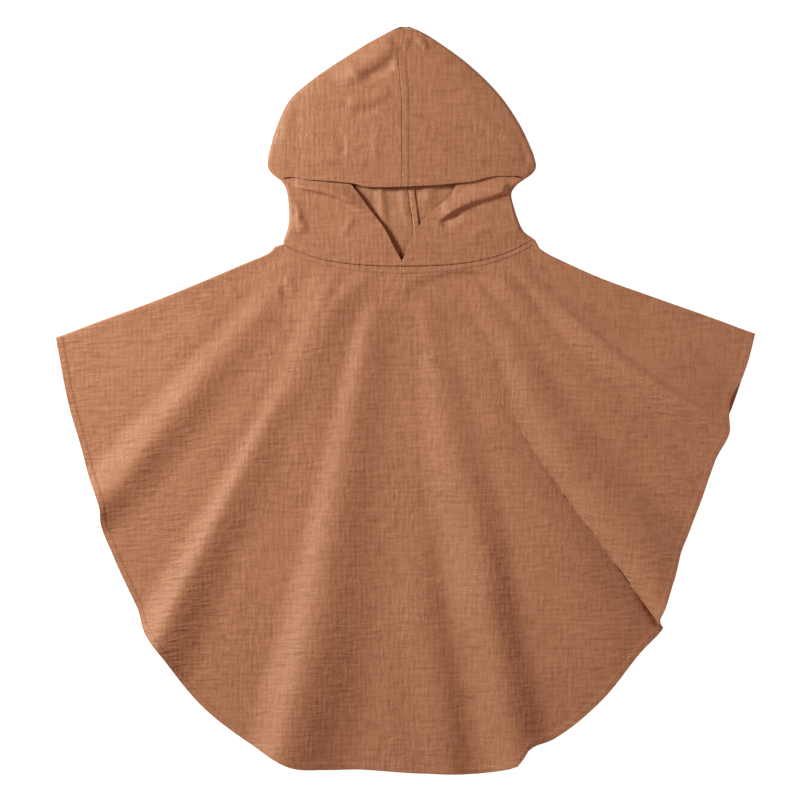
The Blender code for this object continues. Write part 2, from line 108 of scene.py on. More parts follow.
class Curve:
    """Smooth curve through (place, value) pairs, read for many places at once."""

    def __init__(self, knots: Knots) -> None:
        """Set the curve up.

        Args:
            knots: Pairs of place and value, in rising order of place.
        """
        self.places = np.array([knot[0] for knot in knots], float)
        self.values = np.array([knot[1] for knot in knots], float)
        last = len(knots) - 1
        before = np.maximum(np.arange(last + 1) - 1, 0)
        after = np.minimum(np.arange(last + 1) + 1, last)
        run = self.places[after] - self.places[before]
        self.slopes = (self.values[after] - self.values[before]) / run

    def at(self, where: Field | float) -> Field:
        """Read the curve.

        Args:
            where: Places; beyond the ends the curve keeps its end value.

        Returns:
            The values there.
        """
        where = np.clip(where, self.places[0], self.places[-1])
        low = np.clip(np.searchsorted(self.places, where, "right") - 1, 0, len(self.places) - 2)
        run = self.places[low + 1] - self.places[low]
        part = (where - self.places[low]) / run
        rest = 1.0 - part
        return (
            self.values[low] * (1 + 2 * part) * rest * rest
            + self.values[low + 1] * (1 + 2 * rest) * part * part
            + self.slopes[low] * run * part * rest * rest
            - self.slopes[low + 1] * run * rest * part * part
        )


def column_curve(table: Knots, column: int) -> Curve:
    """Curve through one column of a table whose first column is the place."""
    return Curve([(row[0], row[column]) for row in table])


def blend(low: Field | float, high: Field | float, part: Field | float) -> Field:
    """Value a given part of the way from low to high."""
    return low + (high - low) * part


def ease(part: Field | float) -> Field:
    """Smooth step from 0 to 1."""
    part = np.clip(part, 0.0, 1.0)
    return part * part * (3 - 2 * part)


def hump(offset: Field, left: Field | float, right: Field | float, skew: float = 1.0) -> Field:
    """Height of a hump of height 1.

    Args:
        offset: Places to both sides of the crest.
        left: Foot width on the left.
        right: Foot width on the right.
        skew: Below 1 the right side falls away sooner, above 1 later.

    Returns:
        Heights from 0 at the feet to 1 at the crest.
    """
    part = np.clip(np.where(offset < 0, -offset / left, offset / right), 0.0, 1.0)
    part = np.where(offset < 0, part, part**skew)
    return np.cos(part * math.pi / 2) ** 2


def soft_floor(level: Field, floor: float, round_off: float = 0.35) -> Field:
    """Level kept above a floor, with a rounded meeting of the two."""
    above = level - floor
    return floor + (above + np.sqrt(above * above + round_off * round_off)) / 2


@dataclass(frozen=True)
class Crease:
    """Soft ridge or trough along a line: rise and a width to each side, going along it.

    Fades are the parts of its length over which it comes up and dies away.
    """

    line: tuple[tuple[float, float], ...]
    rise: float
    left: float
    right: float
    fades: tuple[float, float] = (0.3, 0.3)
    steps: int = 14

    def relief(self, x: Field, y: Field) -> Field:
        """Rise of this crease at each place.

        Args:
            x: Places across.
            y: Places along.

        Returns:
            Rise in millimetres, zero away from the line.
        """
        knots = np.array(self.line, float)
        run = np.hypot(*np.diff(knots, axis=0).T)
        along = np.concatenate([[0.0], np.cumsum(run)]) / run.sum()
        samples = np.linspace(0.0, 1.0, self.steps + 1)
        line_x = Curve(list(zip(along, knots[:, 0]))).at(samples)
        line_y = Curve(list(zip(along, knots[:, 1]))).at(samples)
        reach = max(self.left, self.right)
        near = (
            (x > line_x.min() - reach) & (x < line_x.max() + reach)
            & (y > line_y.min() - reach) & (y < line_y.max() + reach)
        )
        out = np.zeros(x.shape)
        if not near.any():
            return out
        at_x, at_y = x[near], y[near]
        best = np.full(at_x.shape, np.inf)
        signed = np.zeros(at_x.shape)
        part = np.zeros(at_x.shape)
        for index in range(self.steps):
            step_x = line_x[index + 1] - line_x[index]
            step_y = line_y[index + 1] - line_y[index]
            length = math.hypot(step_x, step_y)
            from_x = at_x - line_x[index]
            from_y = at_y - line_y[index]
            share = np.clip((from_x * step_x + from_y * step_y) / length**2, 0.0, 1.0)
            gap = np.hypot(from_x - share * step_x, from_y - share * step_y)
            right_hand = step_y * from_x - step_x * from_y
            closer = gap < best
            best = np.where(closer, gap, best)
            signed = np.where(closer, gap * np.where(right_hand < 0, -1.0, 1.0), signed)
            part = np.where(closer, (index + share) / self.steps, part)
        fade = ease(part / self.fades[0]) * ease((1.0 - part) / self.fades[1])
        out[near] = self.rise * fade * hump(signed, self.left, self.right)
        return out


def total_relief(creases: Sequence[Crease], x: Field, y: Field) -> Field:
    """Sum of the rises of several creases at each place."""
    return sum((crease.relief(x, y) for crease in creases), np.zeros(x.shape))


@dataclass(frozen=True)
class SewnBand:
    """Cloth turned or felled into a band beside an edge, with its stitch line.

    The rows are the places where the mesh needs one to show the band, counted from the edge,
    from the stitches and from the band's end.
    """

    width: float = 7.6
    rise: float = 0.4
    step: float = 0.9
    stitch_from_end: float = 1.0
    dip: float = 0.3
    dip_width: float = 1.1
    edge_rows: tuple[float, ...] = (0.0, 0.5, 1.4, 2.8, 4.3)
    stitch_rows: tuple[float, ...] = (-1.1, -0.5, 0.0, 0.5)
    end_rows: tuple[float, ...] = (0.0, 1.2, 3.0)

    @property
    def stitch_at(self) -> float:
        """Distance of the stitch line from the edge."""
        return self.width - self.stitch_from_end

    def relief(self, distance: Field) -> Field:
        """Rise of the band at each distance from its edge.

        Args:
            distance: Distances from the edge.

        Returns:
            Rise in millimetres, zero past the edge.
        """
        band = self.rise * (1.0 - ease((distance - self.width + self.step) / self.step))
        sunk = self.dip * hump(distance - self.stitch_at, self.dip_width, self.dip_width)
        return np.where(distance < 0, 0.0, band - sunk)

    def rows(self) -> Field:
        """Distances of the rows from the edge."""
        from_stitch = np.add(self.stitch_rows, self.stitch_at)
        return np.concatenate([self.edge_rows, from_stitch, np.add(self.end_rows, self.width)])


# ---------------------------------------------------------------- finishes


@dataclass(frozen=True)
class Noise:
    """Noise with so many waves a metre along each axis, its octaves and where it starts."""

    waves: tuple[float, float, float]
    detail: float = 0.0
    start: float = 0.0
    roughness: float = 0.5


class Graph:
    """Nodes of one new material, under short names."""

    def __init__(self, name: str) -> None:
        """Make the material.

        Args:
            name: Name of the material.
        """
        self.material = bpy.data.materials.new(name)
        self.material.use_nodes = True
        self.tree = self.material.node_tree

    def feed(self, node: bpy.types.Node, values: dict[str | int, Value]) -> None:
        """Give a node's sockets their links and numbers.

        Args:
            node: The node.
            values: Links and numbers by the name or number of the socket.
        """
        for name, value in values.items():
            if isinstance(value, Socket):
                self.tree.links.new(value, node.inputs[name])
            else:
                node.inputs[name].default_value = value

    def shade(self, values: dict[str, Value]) -> Finish:
        """Give the shader its values and hand the material over."""
        self.feed(self.tree.nodes["Principled BSDF"], values)
        return self.material

    def add(self, kind: str, values: dict[str | int, Value], **settings: str) -> bpy.types.Node:
        """Add a node.

        Args:
            kind: Blender's name of the kind.
            values: Links and numbers for its sockets.
            **settings: Settings of the node itself.

        Returns:
            The node.
        """
        node = self.tree.nodes.new(kind)
        for name, setting in settings.items():
            setattr(node, name, setting)
        self.feed(node, values)
        return node

    def math(self, what: str, first: Value, second: Value) -> Socket:
        """Result of a sum on two values."""
        return self.add("ShaderNodeMath", {0: first, 1: second}, operation=what).outputs[0]

    def vector(self, what: str, values: dict[str | int, Value]) -> Socket:
        """Result of a sum on vectors."""
        return self.add("ShaderNodeVectorMath", values, operation=what).outputs["Vector"]

    def part(self, place: Socket, axis: str) -> Socket:
        """One axis of a vector."""
        return self.add("ShaderNodeSeparateXYZ", {"Vector": place}).outputs[axis]

    def noise(self, place: Socket, noise: Noise, output: str = "Fac") -> Socket:
        """Noise at places in metres, as a value or as a colour.

        Args:
            place: Coordinates in metres.
            noise: Its waves, octaves and start.
            output: Name of the output that is read.

        Returns:
            The noise.
        """
        mapped = self.add("ShaderNodeMapping", {
            "Vector": place, "Scale": noise.waves, "Location": (noise.start,) * 3,
        })
        return self.add("ShaderNodeTexNoise", {
            "Vector": mapped.outputs["Vector"], "Scale": 1.0, "Detail": noise.detail,
            "Roughness": noise.roughness,
        }).outputs[output]

    def bent(self, place: Socket, along: Socket, noise: Noise, by: float) -> Socket:
        """Places moved to all sides by a noise.

        Args:
            place: Coordinates that are moved.
            along: Coordinates at which the noise is read.
            noise: Its waves, octaves and start.
            by: Metres that a full swing of the noise moves them.

        Returns:
            The moved coordinates.
        """
        centred = self.vector("SUBTRACT", {0: self.noise(along, noise, "Color"), 1: (0.5,) * 3})
        return self.vector("ADD", {0: place, 1: self.vector("SCALE", {0: centred, "Scale": by})})

    def bands(self, place: Socket, along: str, scale: float) -> Socket:
        """Fine wavering bands across one axis."""
        return self.add("ShaderNodeTexWave", {
            "Vector": place, "Scale": scale, "Distortion": 1.5, "Detail": 1.0,
        }, bands_direction=along).outputs["Fac"]

    def ramp(self, value: Socket, stops: Sequence[tuple[float, Colour]]) -> Socket:
        """Colour read off a value through stops.

        Args:
            value: The value.
            stops: Values with their colours.

        Returns:
            The colour.
        """
        node = self.add("ShaderNodeValToRGB", {"Fac": value})
        elements = node.color_ramp.elements
        while len(elements) < len(stops):
            elements.new(0.5)
        for element, (position, colour) in zip(elements, stops):
            element.position = position
            element.color = (*colour, 1.0)
        return node.outputs["Color"]

    def moved_range(self, value: Socket, limits: Sequence[float]) -> Socket:
        """Value moved smoothly from a range into another: low, high, new low, new high."""
        names = ("From Min", "From Max", "To Min", "To Max")
        return self.add("ShaderNodeMapRange", {"Value": value, **dict(zip(names, limits))},
                        interpolation_type="SMOOTHSTEP").outputs["Result"]

    def mix(self, share: Socket, colour: Socket, other: Colour) -> Socket:
        """Colour mixed towards a plain one."""
        values = {"Factor": share, "A": colour, "B": (*other, 1.0)}
        return self.add("ShaderNodeMix", values, data_type="RGBA").outputs["Result"]

    def bump(self, height: Socket, depth: float, under: Socket | None = None) -> Socket:
        """Bumps of a depth in metres, on top of another bump's normal if one is given.

        Args:
            height: Heights as parts of the depth.
            depth: Depth in metres.
            under: Normal of the bump below, if there is one.

        Returns:
            The normal.
        """
        below = {} if under is None else {"Normal": under}
        values = {"Height": height, "Distance": depth, "Strength": 1.0, **below}
        return self.add("ShaderNodeBump", values).outputs["Normal"]


@dataclass(frozen=True)
class GauzeFinish:
    """Crinkled cotton double gauze: fine bands, crinkles, ripples, nap, and colour with painted
    shade in the crinkles' troughs.

    Crinkles run everywhere and ripples are wider. Each has an upright and a crosswise noise
    with the start of its patches, and shares gives both their strength at the garment's
    middle and at its sides. Heights, bends and the way from middle to sides are in metres.
    Limits are two values of a noise and what they become, and band_scale is Blender's own
    scale of a wave texture.
    """

    name: str = "double_gauze"
    # colours from the crinkles' troughs to their tops: the darker, redder stops are painted shade in
    # the troughs
    tones: tuple[tuple[float, Colour], ...] = (
        (0.38, (0.300, 0.098, 0.043)), (0.62, (0.395, 0.152, 0.073)),
        (0.87, (0.450, 0.182, 0.094)),
    )
    fleck: Colour = (0.62, 0.36, 0.22)
    roughness: float = 0.62
    specular: float = 0.42
    sheen: float = 0.12
    sheen_roughness: float = 0.6
    sheen_tint: Colour = (1.0, 0.82, 0.70)
    crinkle_height: float = 0.70 * MM
    ripple_height: float = 0.30 * MM
    band_height: float = 0.08 * MM
    band_scale: float = 68.967142
    bends: tuple[tuple[Noise, float], ...] = (
        (Noise((12.0, 12.0, 1.0), 1.0), 0.006), (Noise((75.0, 75.0, 1.0), 1.0, 3.7), 0.0013),
    )
    crinkles: tuple[tuple[Noise, float], ...] = (
        (Noise((310.0, 74.0, 1.0), 2.0, 0.0, 0.55), 1.9),
        (Noise((70.0, 310.0, 1.0), 2.0, 5.3, 0.55), 8.1),
    )
    ripples: tuple[tuple[Noise, float], ...] = (
        (Noise((205.0, 58.0, 1.0), 0.0, 2.2), 3.1), (Noise((56.0, 200.0, 1.0), 0.0, 7.2), 5.9),
    )
    middle_to_sides: tuple[float, float] = (0.10, 0.24)
    shares: tuple[tuple[float, float], ...] = ((0.95, 0.5), (1.1, 1.7))
    patch_waves: tuple[float, float, float] = (17.0, 11.0, 1.0)
    patch_limits: tuple[float, ...] = (0.34, 0.66, 0.5, 1.15)
    tone_noise: Noise = Noise((22.0, 16.0, 1.0), 2.0)
    tone_share: float = 0.25
    fleck_noise: Noise = Noise((700.0, 260.0, 1.0), 0.0, 9.4)
    fleck_limits: tuple[float, ...] = (0.79, 0.84, 0.0, 0.3)

    def material(self) -> Finish:
        """Build the cloth's material on the cut's own coordinates, in metres.

        Returns:
            The material, whose pattern follows the UV map named cut.
        """
        graph = Graph(self.name)
        place = graph.add("ShaderNodeUVMap", {}, uv_map="cut").outputs["UV"]
        bent = place
        for noise, by in self.bends:
            bent = graph.bent(bent, place, noise, by)

        # upright crinkles lead in the middle of the garment, crosswise ones at its sides
        from_middle = graph.math("ABSOLUTE", graph.part(place, "X"), 0.0)
        shares = [
            graph.moved_range(from_middle, self.middle_to_sides + share) for share in self.shares
        ]
        crinkles = [graph.noise(bent, noise) for noise, _ in self.crinkles]
        ripples = [graph.noise(bent, noise) for noise, _ in self.ripples]
        bump = None
        for height, depth in (
            (self._in_patches(graph, place, ripples, shares, self.ripples), self.ripple_height),
            (self._in_patches(graph, place, crinkles, shares, self.crinkles), self.crinkle_height),
            (graph.math("MULTIPLY", *(graph.bands(bent, axis, self.band_scale) for axis in "XY")),
             self.band_height),
        ):
            bump = graph.bump(height, depth, bump)

        # colour follows the crinkles' height, darker and redder in their troughs as painted shade,
        # with a slow random change of tone added
        level = graph.math("MULTIPLY", graph.math("ADD", *crinkles), 0.5)
        slow = graph.math("MULTIPLY", graph.noise(place, self.tone_noise), self.tone_share)
        tone_and_painted_shade = graph.ramp(graph.math("ADD", level, slow), self.tones)
        fleck = graph.moved_range(graph.noise(place, self.fleck_noise), self.fleck_limits)
        return graph.shade({
            "Base Color": graph.mix(fleck, tone_and_painted_shade, self.fleck), "Normal": bump,
            "Roughness": self.roughness, "Specular IOR Level": self.specular,
            "Sheen Weight": self.sheen, "Sheen Roughness": self.sheen_roughness,
            "Sheen Tint": (*self.sheen_tint, 1.0),
        })

    def _in_patches(self, graph: Graph, place: Socket, waves: Sequence[Socket],
                    shares: Sequence[Socket], noises: Sequence[tuple[Noise, float]]) -> Socket:
        """Upright and crosswise waves together, each in patches a hand wide.

        Args:
            graph: Nodes of the material.
            place: Coordinates on the cut.
            waves: The upright waves and the crosswise ones.
            shares: Their shares from the middle to the sides.
            noises: Their noises, each with the start of its patches.

        Returns:
            The sum of the two.
        """
        both = []
        for wave, share, (_, start) in zip(waves, shares, noises):
            patch = graph.noise(place, Noise(self.patch_waves, 2.0, start))
            swing = graph.math("MULTIPLY", share, graph.moved_range(patch, self.patch_limits))
            both.append(graph.math("MULTIPLY", wave, swing))
        return graph.math("ADD", *both)


@dataclass(frozen=True)
class ThreadFinish:
    """Spun cotton: a plain twist of two tones."""

    name: str = "sewing_thread"
    tones: tuple[tuple[float, Colour], ...] = ((0.4, (0.26, 0.10, 0.05)), (0.6, (0.40, 0.17, 0.095)))
    twist: Noise = Noise((1500.0, 1500.0, 1500.0), 1.0)
    depth: float = 0.05 * MM
    roughness: float = 0.8

    def material(self) -> Finish:
        """Build the thread's material on Object coordinates."""
        graph = Graph(self.name)
        twist = graph.noise(graph.add("ShaderNodeTexCoord", {}).outputs["Object"], self.twist)
        return graph.shade({
            "Base Color": graph.ramp(twist, self.tones), "Normal": graph.bump(twist, self.depth),
            "Roughness": self.roughness,
        })


@dataclass(frozen=True)
class FloorFinish:
    """Plain white surface that the garment lies on."""

    name: str = "studio_white"
    albedo: float = 0.3
    roughness: float = 0.9
    glow: float = 0.98

    def material(self) -> Finish:
        """Build the floor's material."""
        return Graph(self.name).shade({
            "Base Color": (self.albedo, self.albedo, self.albedo, 1.0),
            "Roughness": self.roughness, "Emission Color": (1.0, 1.0, 1.0, 1.0),
            "Emission Strength": self.glow,
        })


# ---------------------------------------------------------------- cloth and stitches


@dataclass(frozen=True)
class ClothShell:
    """Thin shell of cloth through patches of points.

    A patch is its points, rows by columns by three, and their places on the flat cut, rows by
    columns by two, both in millimetres.
    """

    name: str
    patches: Sequence[tuple[Field, Field]]
    wall: float = CLOTH

    def build(self, finish: Finish) -> bpy.types.Object:
        """Join the patches into one sheet and give it its wall.

        Args:
            finish: Material of the cloth.

        Returns:
            The piece, at the origin, with its place in its mesh.
        """
        mesh = bmesh.new()
        cut_layer = mesh.loops.layers.uv.new("cut")
        for points, cut in self.patches:
            self._add_patch(mesh, cut_layer, points, cut)
        bmesh.ops.remove_doubles(mesh, verts=mesh.verts, dist=SAME_PLACE * MM)
        bmesh.ops.recalc_face_normals(mesh, faces=mesh.faces)
        piece = finished_piece(self.name, mesh, finish)
        wall = piece.modifiers.new("wall", "SOLIDIFY")
        wall.thickness = self.wall * MM
        wall.offset = 0.0
        return piece

    @staticmethod
    def _add_patch(mesh: bmesh.types.BMesh, layer: bmesh.types.BMLayerItem,
                   points: Field, cut: Field) -> None:
        """Lay a grid and bring its corners to the patch's points.

        Args:
            mesh: Mesh that takes the patch.
            layer: Its layer for places on the cut.
            points: Points of the patch.
            cut: Their places on the flat cut.
        """
        rows, columns = points.shape[:2]
        made = bmesh.ops.create_grid(mesh, x_segments=columns - 1, y_segments=rows - 1, size=0.5)
        verts = made["verts"]
        spots = np.array([vert.co[:2] for vert in verts])
        order = np.lexsort((spots[:, 0].round(6), spots[:, 1].round(6)))
        placed = points.reshape(-1, 3) * MM
        placed[:, :2] += np.array(PLACE) * MM
        flat_cut = cut.reshape(-1, 2) * MM
        where = {}
        for index, at in enumerate(order):
            verts[at].co = placed[index]
            where[verts[at]] = flat_cut[index]
        for face in {face for vert in verts for face in vert.link_faces}:
            for loop in face.loops:
                loop[layer].uv = where[loop.vert]


@dataclass(frozen=True)
class StitchRow:
    """Row of lockstitches: length of a stitch, gap to the next and thickness of the thread."""

    length: float = 2.7
    gap: float = 0.6
    thread: float = 0.42
    sides: int = 5
    rings: int = 4

    def add_to(self, mesh: bmesh.types.BMesh, line: Field) -> int:
        """Sew along a line.

        Args:
            mesh: Mesh that takes the stitches.
            line: Points along the line in millimetres, rows of three.

        Returns:
            How many stitches were sewn.
        """
        run = np.linalg.norm(np.diff(line, axis=0), axis=1)
        along = np.concatenate([[0.0], np.cumsum(run)])
        pitch = self.length + self.gap
        count = int(along[-1] // pitch)
        for number in range(count):
            start = self._at(line, along, number * pitch + self.gap / 2)
            end = self._at(line, along, number * pitch + self.gap / 2 + self.length)
            self._sew(mesh, start, end)
        return count

    @staticmethod
    def _at(line: Field, along: Field, distance: float) -> Vector:
        """Point at a distance along the line, in metres and in place."""
        spot = [np.interp(distance, along, line[:, axis]) for axis in range(3)]
        return Vector((spot[0] + PLACE[0], spot[1] + PLACE[1], spot[2])) * MM

    def _sew(self, mesh: bmesh.types.BMesh, start: Vector, end: Vector) -> None:
        """One stitch, as a small drawn-out bead of thread.

        Args:
            mesh: Mesh that takes the stitch.
            start: Its start in metres.
            end: Its end.
        """
        run = end - start
        turn = run.to_track_quat("Z", "Y").to_matrix().to_4x4()
        size = Matrix.Diagonal((self.thread * MM / 2, self.thread * MM / 2, run.length / 2, 1.0))
        matrix = Matrix.Translation((start + end) / 2) @ turn @ size
        bmesh.ops.create_uvsphere(
            mesh, u_segments=self.sides, v_segments=self.rings, radius=1.0, matrix=matrix
        )


def finished_piece(name: str, mesh: bmesh.types.BMesh, finish: Finish) -> bpy.types.Object:
    """Object of a finished mesh, smooth and in its material.

    Args:
        name: Name of the piece.
        mesh: Its mesh, which is freed.
        finish: Its material.

    Returns:
        The piece.
    """
    for face in mesh.faces:
        face.smooth = True
    data = bpy.data.meshes.new(name)
    mesh.to_mesh(data)
    mesh.free()
    data.materials.append(finish)
    piece = bpy.data.objects.new(name, data)
    bpy.context.scene.collection.objects.link(piece)
    return piece


def half_circle(start: Field, end: Field, outward: Field, points: int) -> Field:
    """Cloth turned over from one layer to the other.

    Args:
        start: Rows of points where the fold starts.
        end: Rows of points where it ends.
        outward: Rows of level directions in which it bulges.
        points: Points between the two.

    Returns:
        Rows by points by three.
    """
    middle = (start + end) / 2
    half = (end - start) / 2
    size = np.linalg.norm(half, axis=1, keepdims=True)
    made = []
    for number in range(1, points + 1):
        turn = math.pi * number / (points + 1)
        made.append(middle - half * math.cos(turn) + outward * size * math.sin(turn))
    return np.stack(made, axis=1)


def fold_direction(across: Field, sign: int, turn: Field, slope: float = 0.55) -> Field:
    """Level direction in which a side fold bulges, from the neck's own at turn 0.

    Args:
        across: Rows of directions square to the fold further down.
        sign: -1 on the left, 1 on the right.
        turn: How far each row has turned to that direction.
        slope: Upward part of the direction at the neck.

    Returns:
        Rows of unit directions.
    """
    at_neck = np.array([sign, slope, 0.0]) / math.hypot(1.0, slope)
    level = across * np.array([1.0, 1.0, 0.0])
    level = level / np.linalg.norm(level, axis=1, keepdims=True)
    mixed = blend(at_neck, level, turn[:, None])
    return mixed / np.linalg.norm(mixed, axis=1, keepdims=True)


# ---------------------------------------------------------------- the neck seam


@dataclass(frozen=True)
class NeckSeam:
    """Curve of the seam between the hood and the body."""

    middle: float = 125.0
    half: float = 115.0
    bow: float = 8.5
    hook: float = 13.6
    end_angles: tuple[float, float] = (14.4, 168.9)
    search: tuple[float, float] = (30.0, 150.0)
    search_steps: int = 30
    lift: float = 2.2
    lift_power: float = 0.6
    lift_rest: float = 95.0

    def height(self, x: Field | float) -> Field:
        """Height of the seam at a place across it."""
        part = x / self.half
        return self.middle + self.bow * part**2 + self.hook * part**4

    def reach(self, angle: Field | float) -> Field:
        """Reach of the seam round the fan's centre at an angle, found by halving.

        Args:
            angle: Angles in degrees.

        Returns:
            Reaches in millimetres.
        """
        low = np.full(np.shape(angle), self.search[0])
        high = np.full(np.shape(angle), self.search[1])
        for _ in range(self.search_steps):
            middle = (low + high) / 2
            x, y = fan_place(angle, middle)
            above = y > self.height(x)
            low = np.where(above, middle, low)
            high = np.where(above, high, middle)
        return low

    def end(self, side: Side) -> tuple[float, float]:
        """End of the seam at a shoulder fold.

        Args:
            side: Which fold.

        Returns:
            Its place across and along.
        """
        angle = self.end_angles[side.column - 1]
        x, y = fan_place(angle, self.reach(angle))
        return float(x), float(y)

    def rise(self, x: Field, from_seam: Field) -> Field:
        """Rise of the cloth over the bulk of the seam.

        Args:
            x: Places across.
            from_seam: Their distances from the seam.

        Returns:
            Rise in millimetres.
        """
        left, right = self.end(Side.LEFT)[0], self.end(Side.RIGHT)[0]
        across = np.clip((x - left) / (right - left), 0.0, 1.0)
        fullness = np.sin(math.pi * across) ** self.lift_power
        return self.lift * fullness * ease(1.0 - from_seam / self.lift_rest)


def fan_place(angle: Field | float, reach: Field | float) -> tuple[Field, Field]:
    """Place at an angle and a reach round the fan's centre."""
    turn = np.radians(angle)
    return FAN_CENTRE[0] - reach * np.cos(turn), FAN_CENTRE[1] - reach * np.sin(turn)


# ---------------------------------------------------------------- the body


@dataclass(frozen=True)
class FanRidge:
    """Narrow ridge or trough that runs out from the neck.

    Its rows give reach, angle, rise, left foot and right foot. An abrupt side is steepest
    at its foot, as where one fold of cloth meets the next. Start is the length over which
    the ridge comes up.
    """

    rows: tuple[tuple[float, float, float, float, float], ...]
    abrupt: Side | None = None
    softness: float = 0.5
    start: float = 20.0

    def relief(self, angle: Field, reach: Field) -> Field:
        """Rise of the ridge at each place of the fan.

        Args:
            angle: Angles in degrees.
            reach: Reaches in millimetres.

        Returns:
            Rise in millimetres.
        """
        centre, rise, left, right = (column_curve(self.rows, k).at(reach) for k in (1, 2, 3, 4))
        offset = (angle - centre) * reach * math.pi / 180
        share = hump(offset, left, right)
        if self.abrupt is not None:
            share = np.where(offset * self.abrupt.value > 0, share**self.softness, share)
        from_start = reach - self.rows[0][0]
        return np.where(from_start > 0, rise * share * ease(from_start / self.start), 0.0)


@dataclass(frozen=True)
class Flute:
    """One soft fold of the front, with its sizes at each of the flute reaches.

    Blunt is 1 where the left side runs out softly, and less where it stands up from its foot
    as a rolled fold does.
    """

    crests: tuple[float, ...]
    rises: tuple[float, ...]
    lefts: tuple[float, ...]
    rights: tuple[float, ...]
    leans: tuple[float, ...] = (0, 0, 0, 0, 1, 2, 3)
    blunt: tuple[float, ...] = (1, 1, 1, 1, 1, 1, 1)
    skew: float = 1.0


@dataclass(frozen=True)
class Swell:
    """Rise of the cloth between two flutes at each of the swell reaches."""

    rises: tuple[float, ...]
    skew: float


FLUTE_REACHES = (70, 110, 160, 220, 300, 380, 460)
FLUTES = (
    Flute((24, 27, 34.1, 38.5, 41.6, 43.3, 42.9), (0, 1.3, 3.0, 4.9, 6.5, 7.7, 8.7),
          (10, 10.4, 19.6, 25.6, 30, 35, 40), (41, 41, 38, 37, 37, 35, 24), skew=0.8),
    Flute((47, 50, 55.4, 57, 58.5, 59.4, 60.2), (0, 4.6, 4.8, 3.7, 4.7, 6.9, 10.2),
          (15, 18.5, 23.5, 20, 22, 28, 34), (22, 24.5, 25.8, 28, 34, 40, 50), skew=0.78),
    Flute((71, 73, 75, 76.7, 77.3, 78.1, 77.5), (0, 3.5, 4.3, 5.0, 7.1, 10.1, 13.4),
          (15, 17.5, 21, 28, 31, 39, 40), (28, 31, 36.5, 42, 50, 63, 74), skew=0.83),
    Flute((102, 102, 102.2, 102.5, 102.8, 101.7, 101.2), (0, 1.1, 3.3, 5.9, 8.6, 10.5, 10.5),
          (12, 12.3, 23, 36, 43, 40, 30), (20, 22.6, 27, 31, 34, 38, 46),
          (0, 0, 0, 0, 1, 4, 8), skew=0.94),
    Flute((136, 133.3, 129.3, 125.2, 124.8, 126, 128), (0, 1.6, 3.2, 5.6, 8.8, 12.4, 14.6),
          (14, 18, 20, 27.5, 28, 32, 47), (9, 10, 22, 32, 42, 46, 36),
          (0, 0, 0, 0, -1, -5, -32), (1, 1, 1, 0.85, 0.6, 0.42, 0.5), skew=1.15),
    Flute((155, 154.2, 148.6, 145, 144.8, 145.8, 145.8), (0, 0.4, 3.2, 6.8, 10.2, 12, 12.5),
          (5, 5, 14, 18, 20, 25, 27), (9, 10, 16, 38, 62, 44, 20), (0,) * 7,
          (1, 1, 1, 0.9, 0.8, 0.8, 0.8), skew=1.2),
)
SWELL_REACHES = (110, 160, 220, 300, 380, 460)
SWELLS = (
    Swell((3, 0.4, 1.8, 0.3, -0.6, -0.6), 1.2),
    Swell((2.7, 1.9, 1.6, 0.3, -0.1, 0.1), 1.6),
    Swell((2.8, 2.4, 1.0, -0.1, -0.5, -0.3), 0.66),
    Swell((0.3, -0.3, 0, 1.4, 2.3, 2.1), 1.2),
    Swell((-0.5, 1.2, 2.2, 1.4, 0.4, 0), 0.87),
    Swell((3, 1.8, 2, 3.8, 4.8, 4.8), 1.3),
    Swell((-0.8, -0.8, 0.5, 3.4, 3.6, 2.5), 1.4),
)
RIDGES = (
    # the cloth falls away under the left edge of the fifth flute
    FanRidge(((200, 113.2, 0.3, 34, 20), (240, 113.6, 1.8, 48, 21), (280, 114.4, 4.0, 66, 24),
              (330, 115.4, 6.8, 88, 29), (390, 116.2, 8.8, 112, 36), (440, 116.4, 9.4, 126, 41),
              (475, 116.6, 9, 130, 44)), abrupt=Side.RIGHT, softness=0.30),
    # a sharp rim along the sixth flute
    FanRidge(((165, 148.8, 0.7, 8, 5), (200, 147.4, 1.4, 9, 5.5), (240, 146.2, 2.3, 11, 6),
              (300, 145.9, 3.4, 13, 6.5), (350, 146.6, 3.8, 13, 7)), abrupt=Side.RIGHT),
    # the cloth falls away beside the fourth flute
    FanRidge(((290, 92.5, 0.6, 20, 14), (360, 93, 1.8, 26, 20), (420, 93.8, 3.0, 32, 20),
              (480, 94.6, 3.8, 34, 18), (530, 94.8, 3.8, 34, 18)), abrupt=Side.RIGHT),
    # sharp crests of the second and the third flute
    FanRidge(((190, 55.6, 0.2, 7, 7), (300, 57.6, 0.7, 9, 9), (420, 59.1, 1.0, 10, 12),
              (480, 59.6, 1.0, 10, 12))),
    FanRidge(((200, 74.6, 0.1, 8, 8), (300, 75.2, 0.5, 10, 10), (420, 76.2, 0.7, 11, 12),
              (530, 76, 0.7, 11, 12))),
)


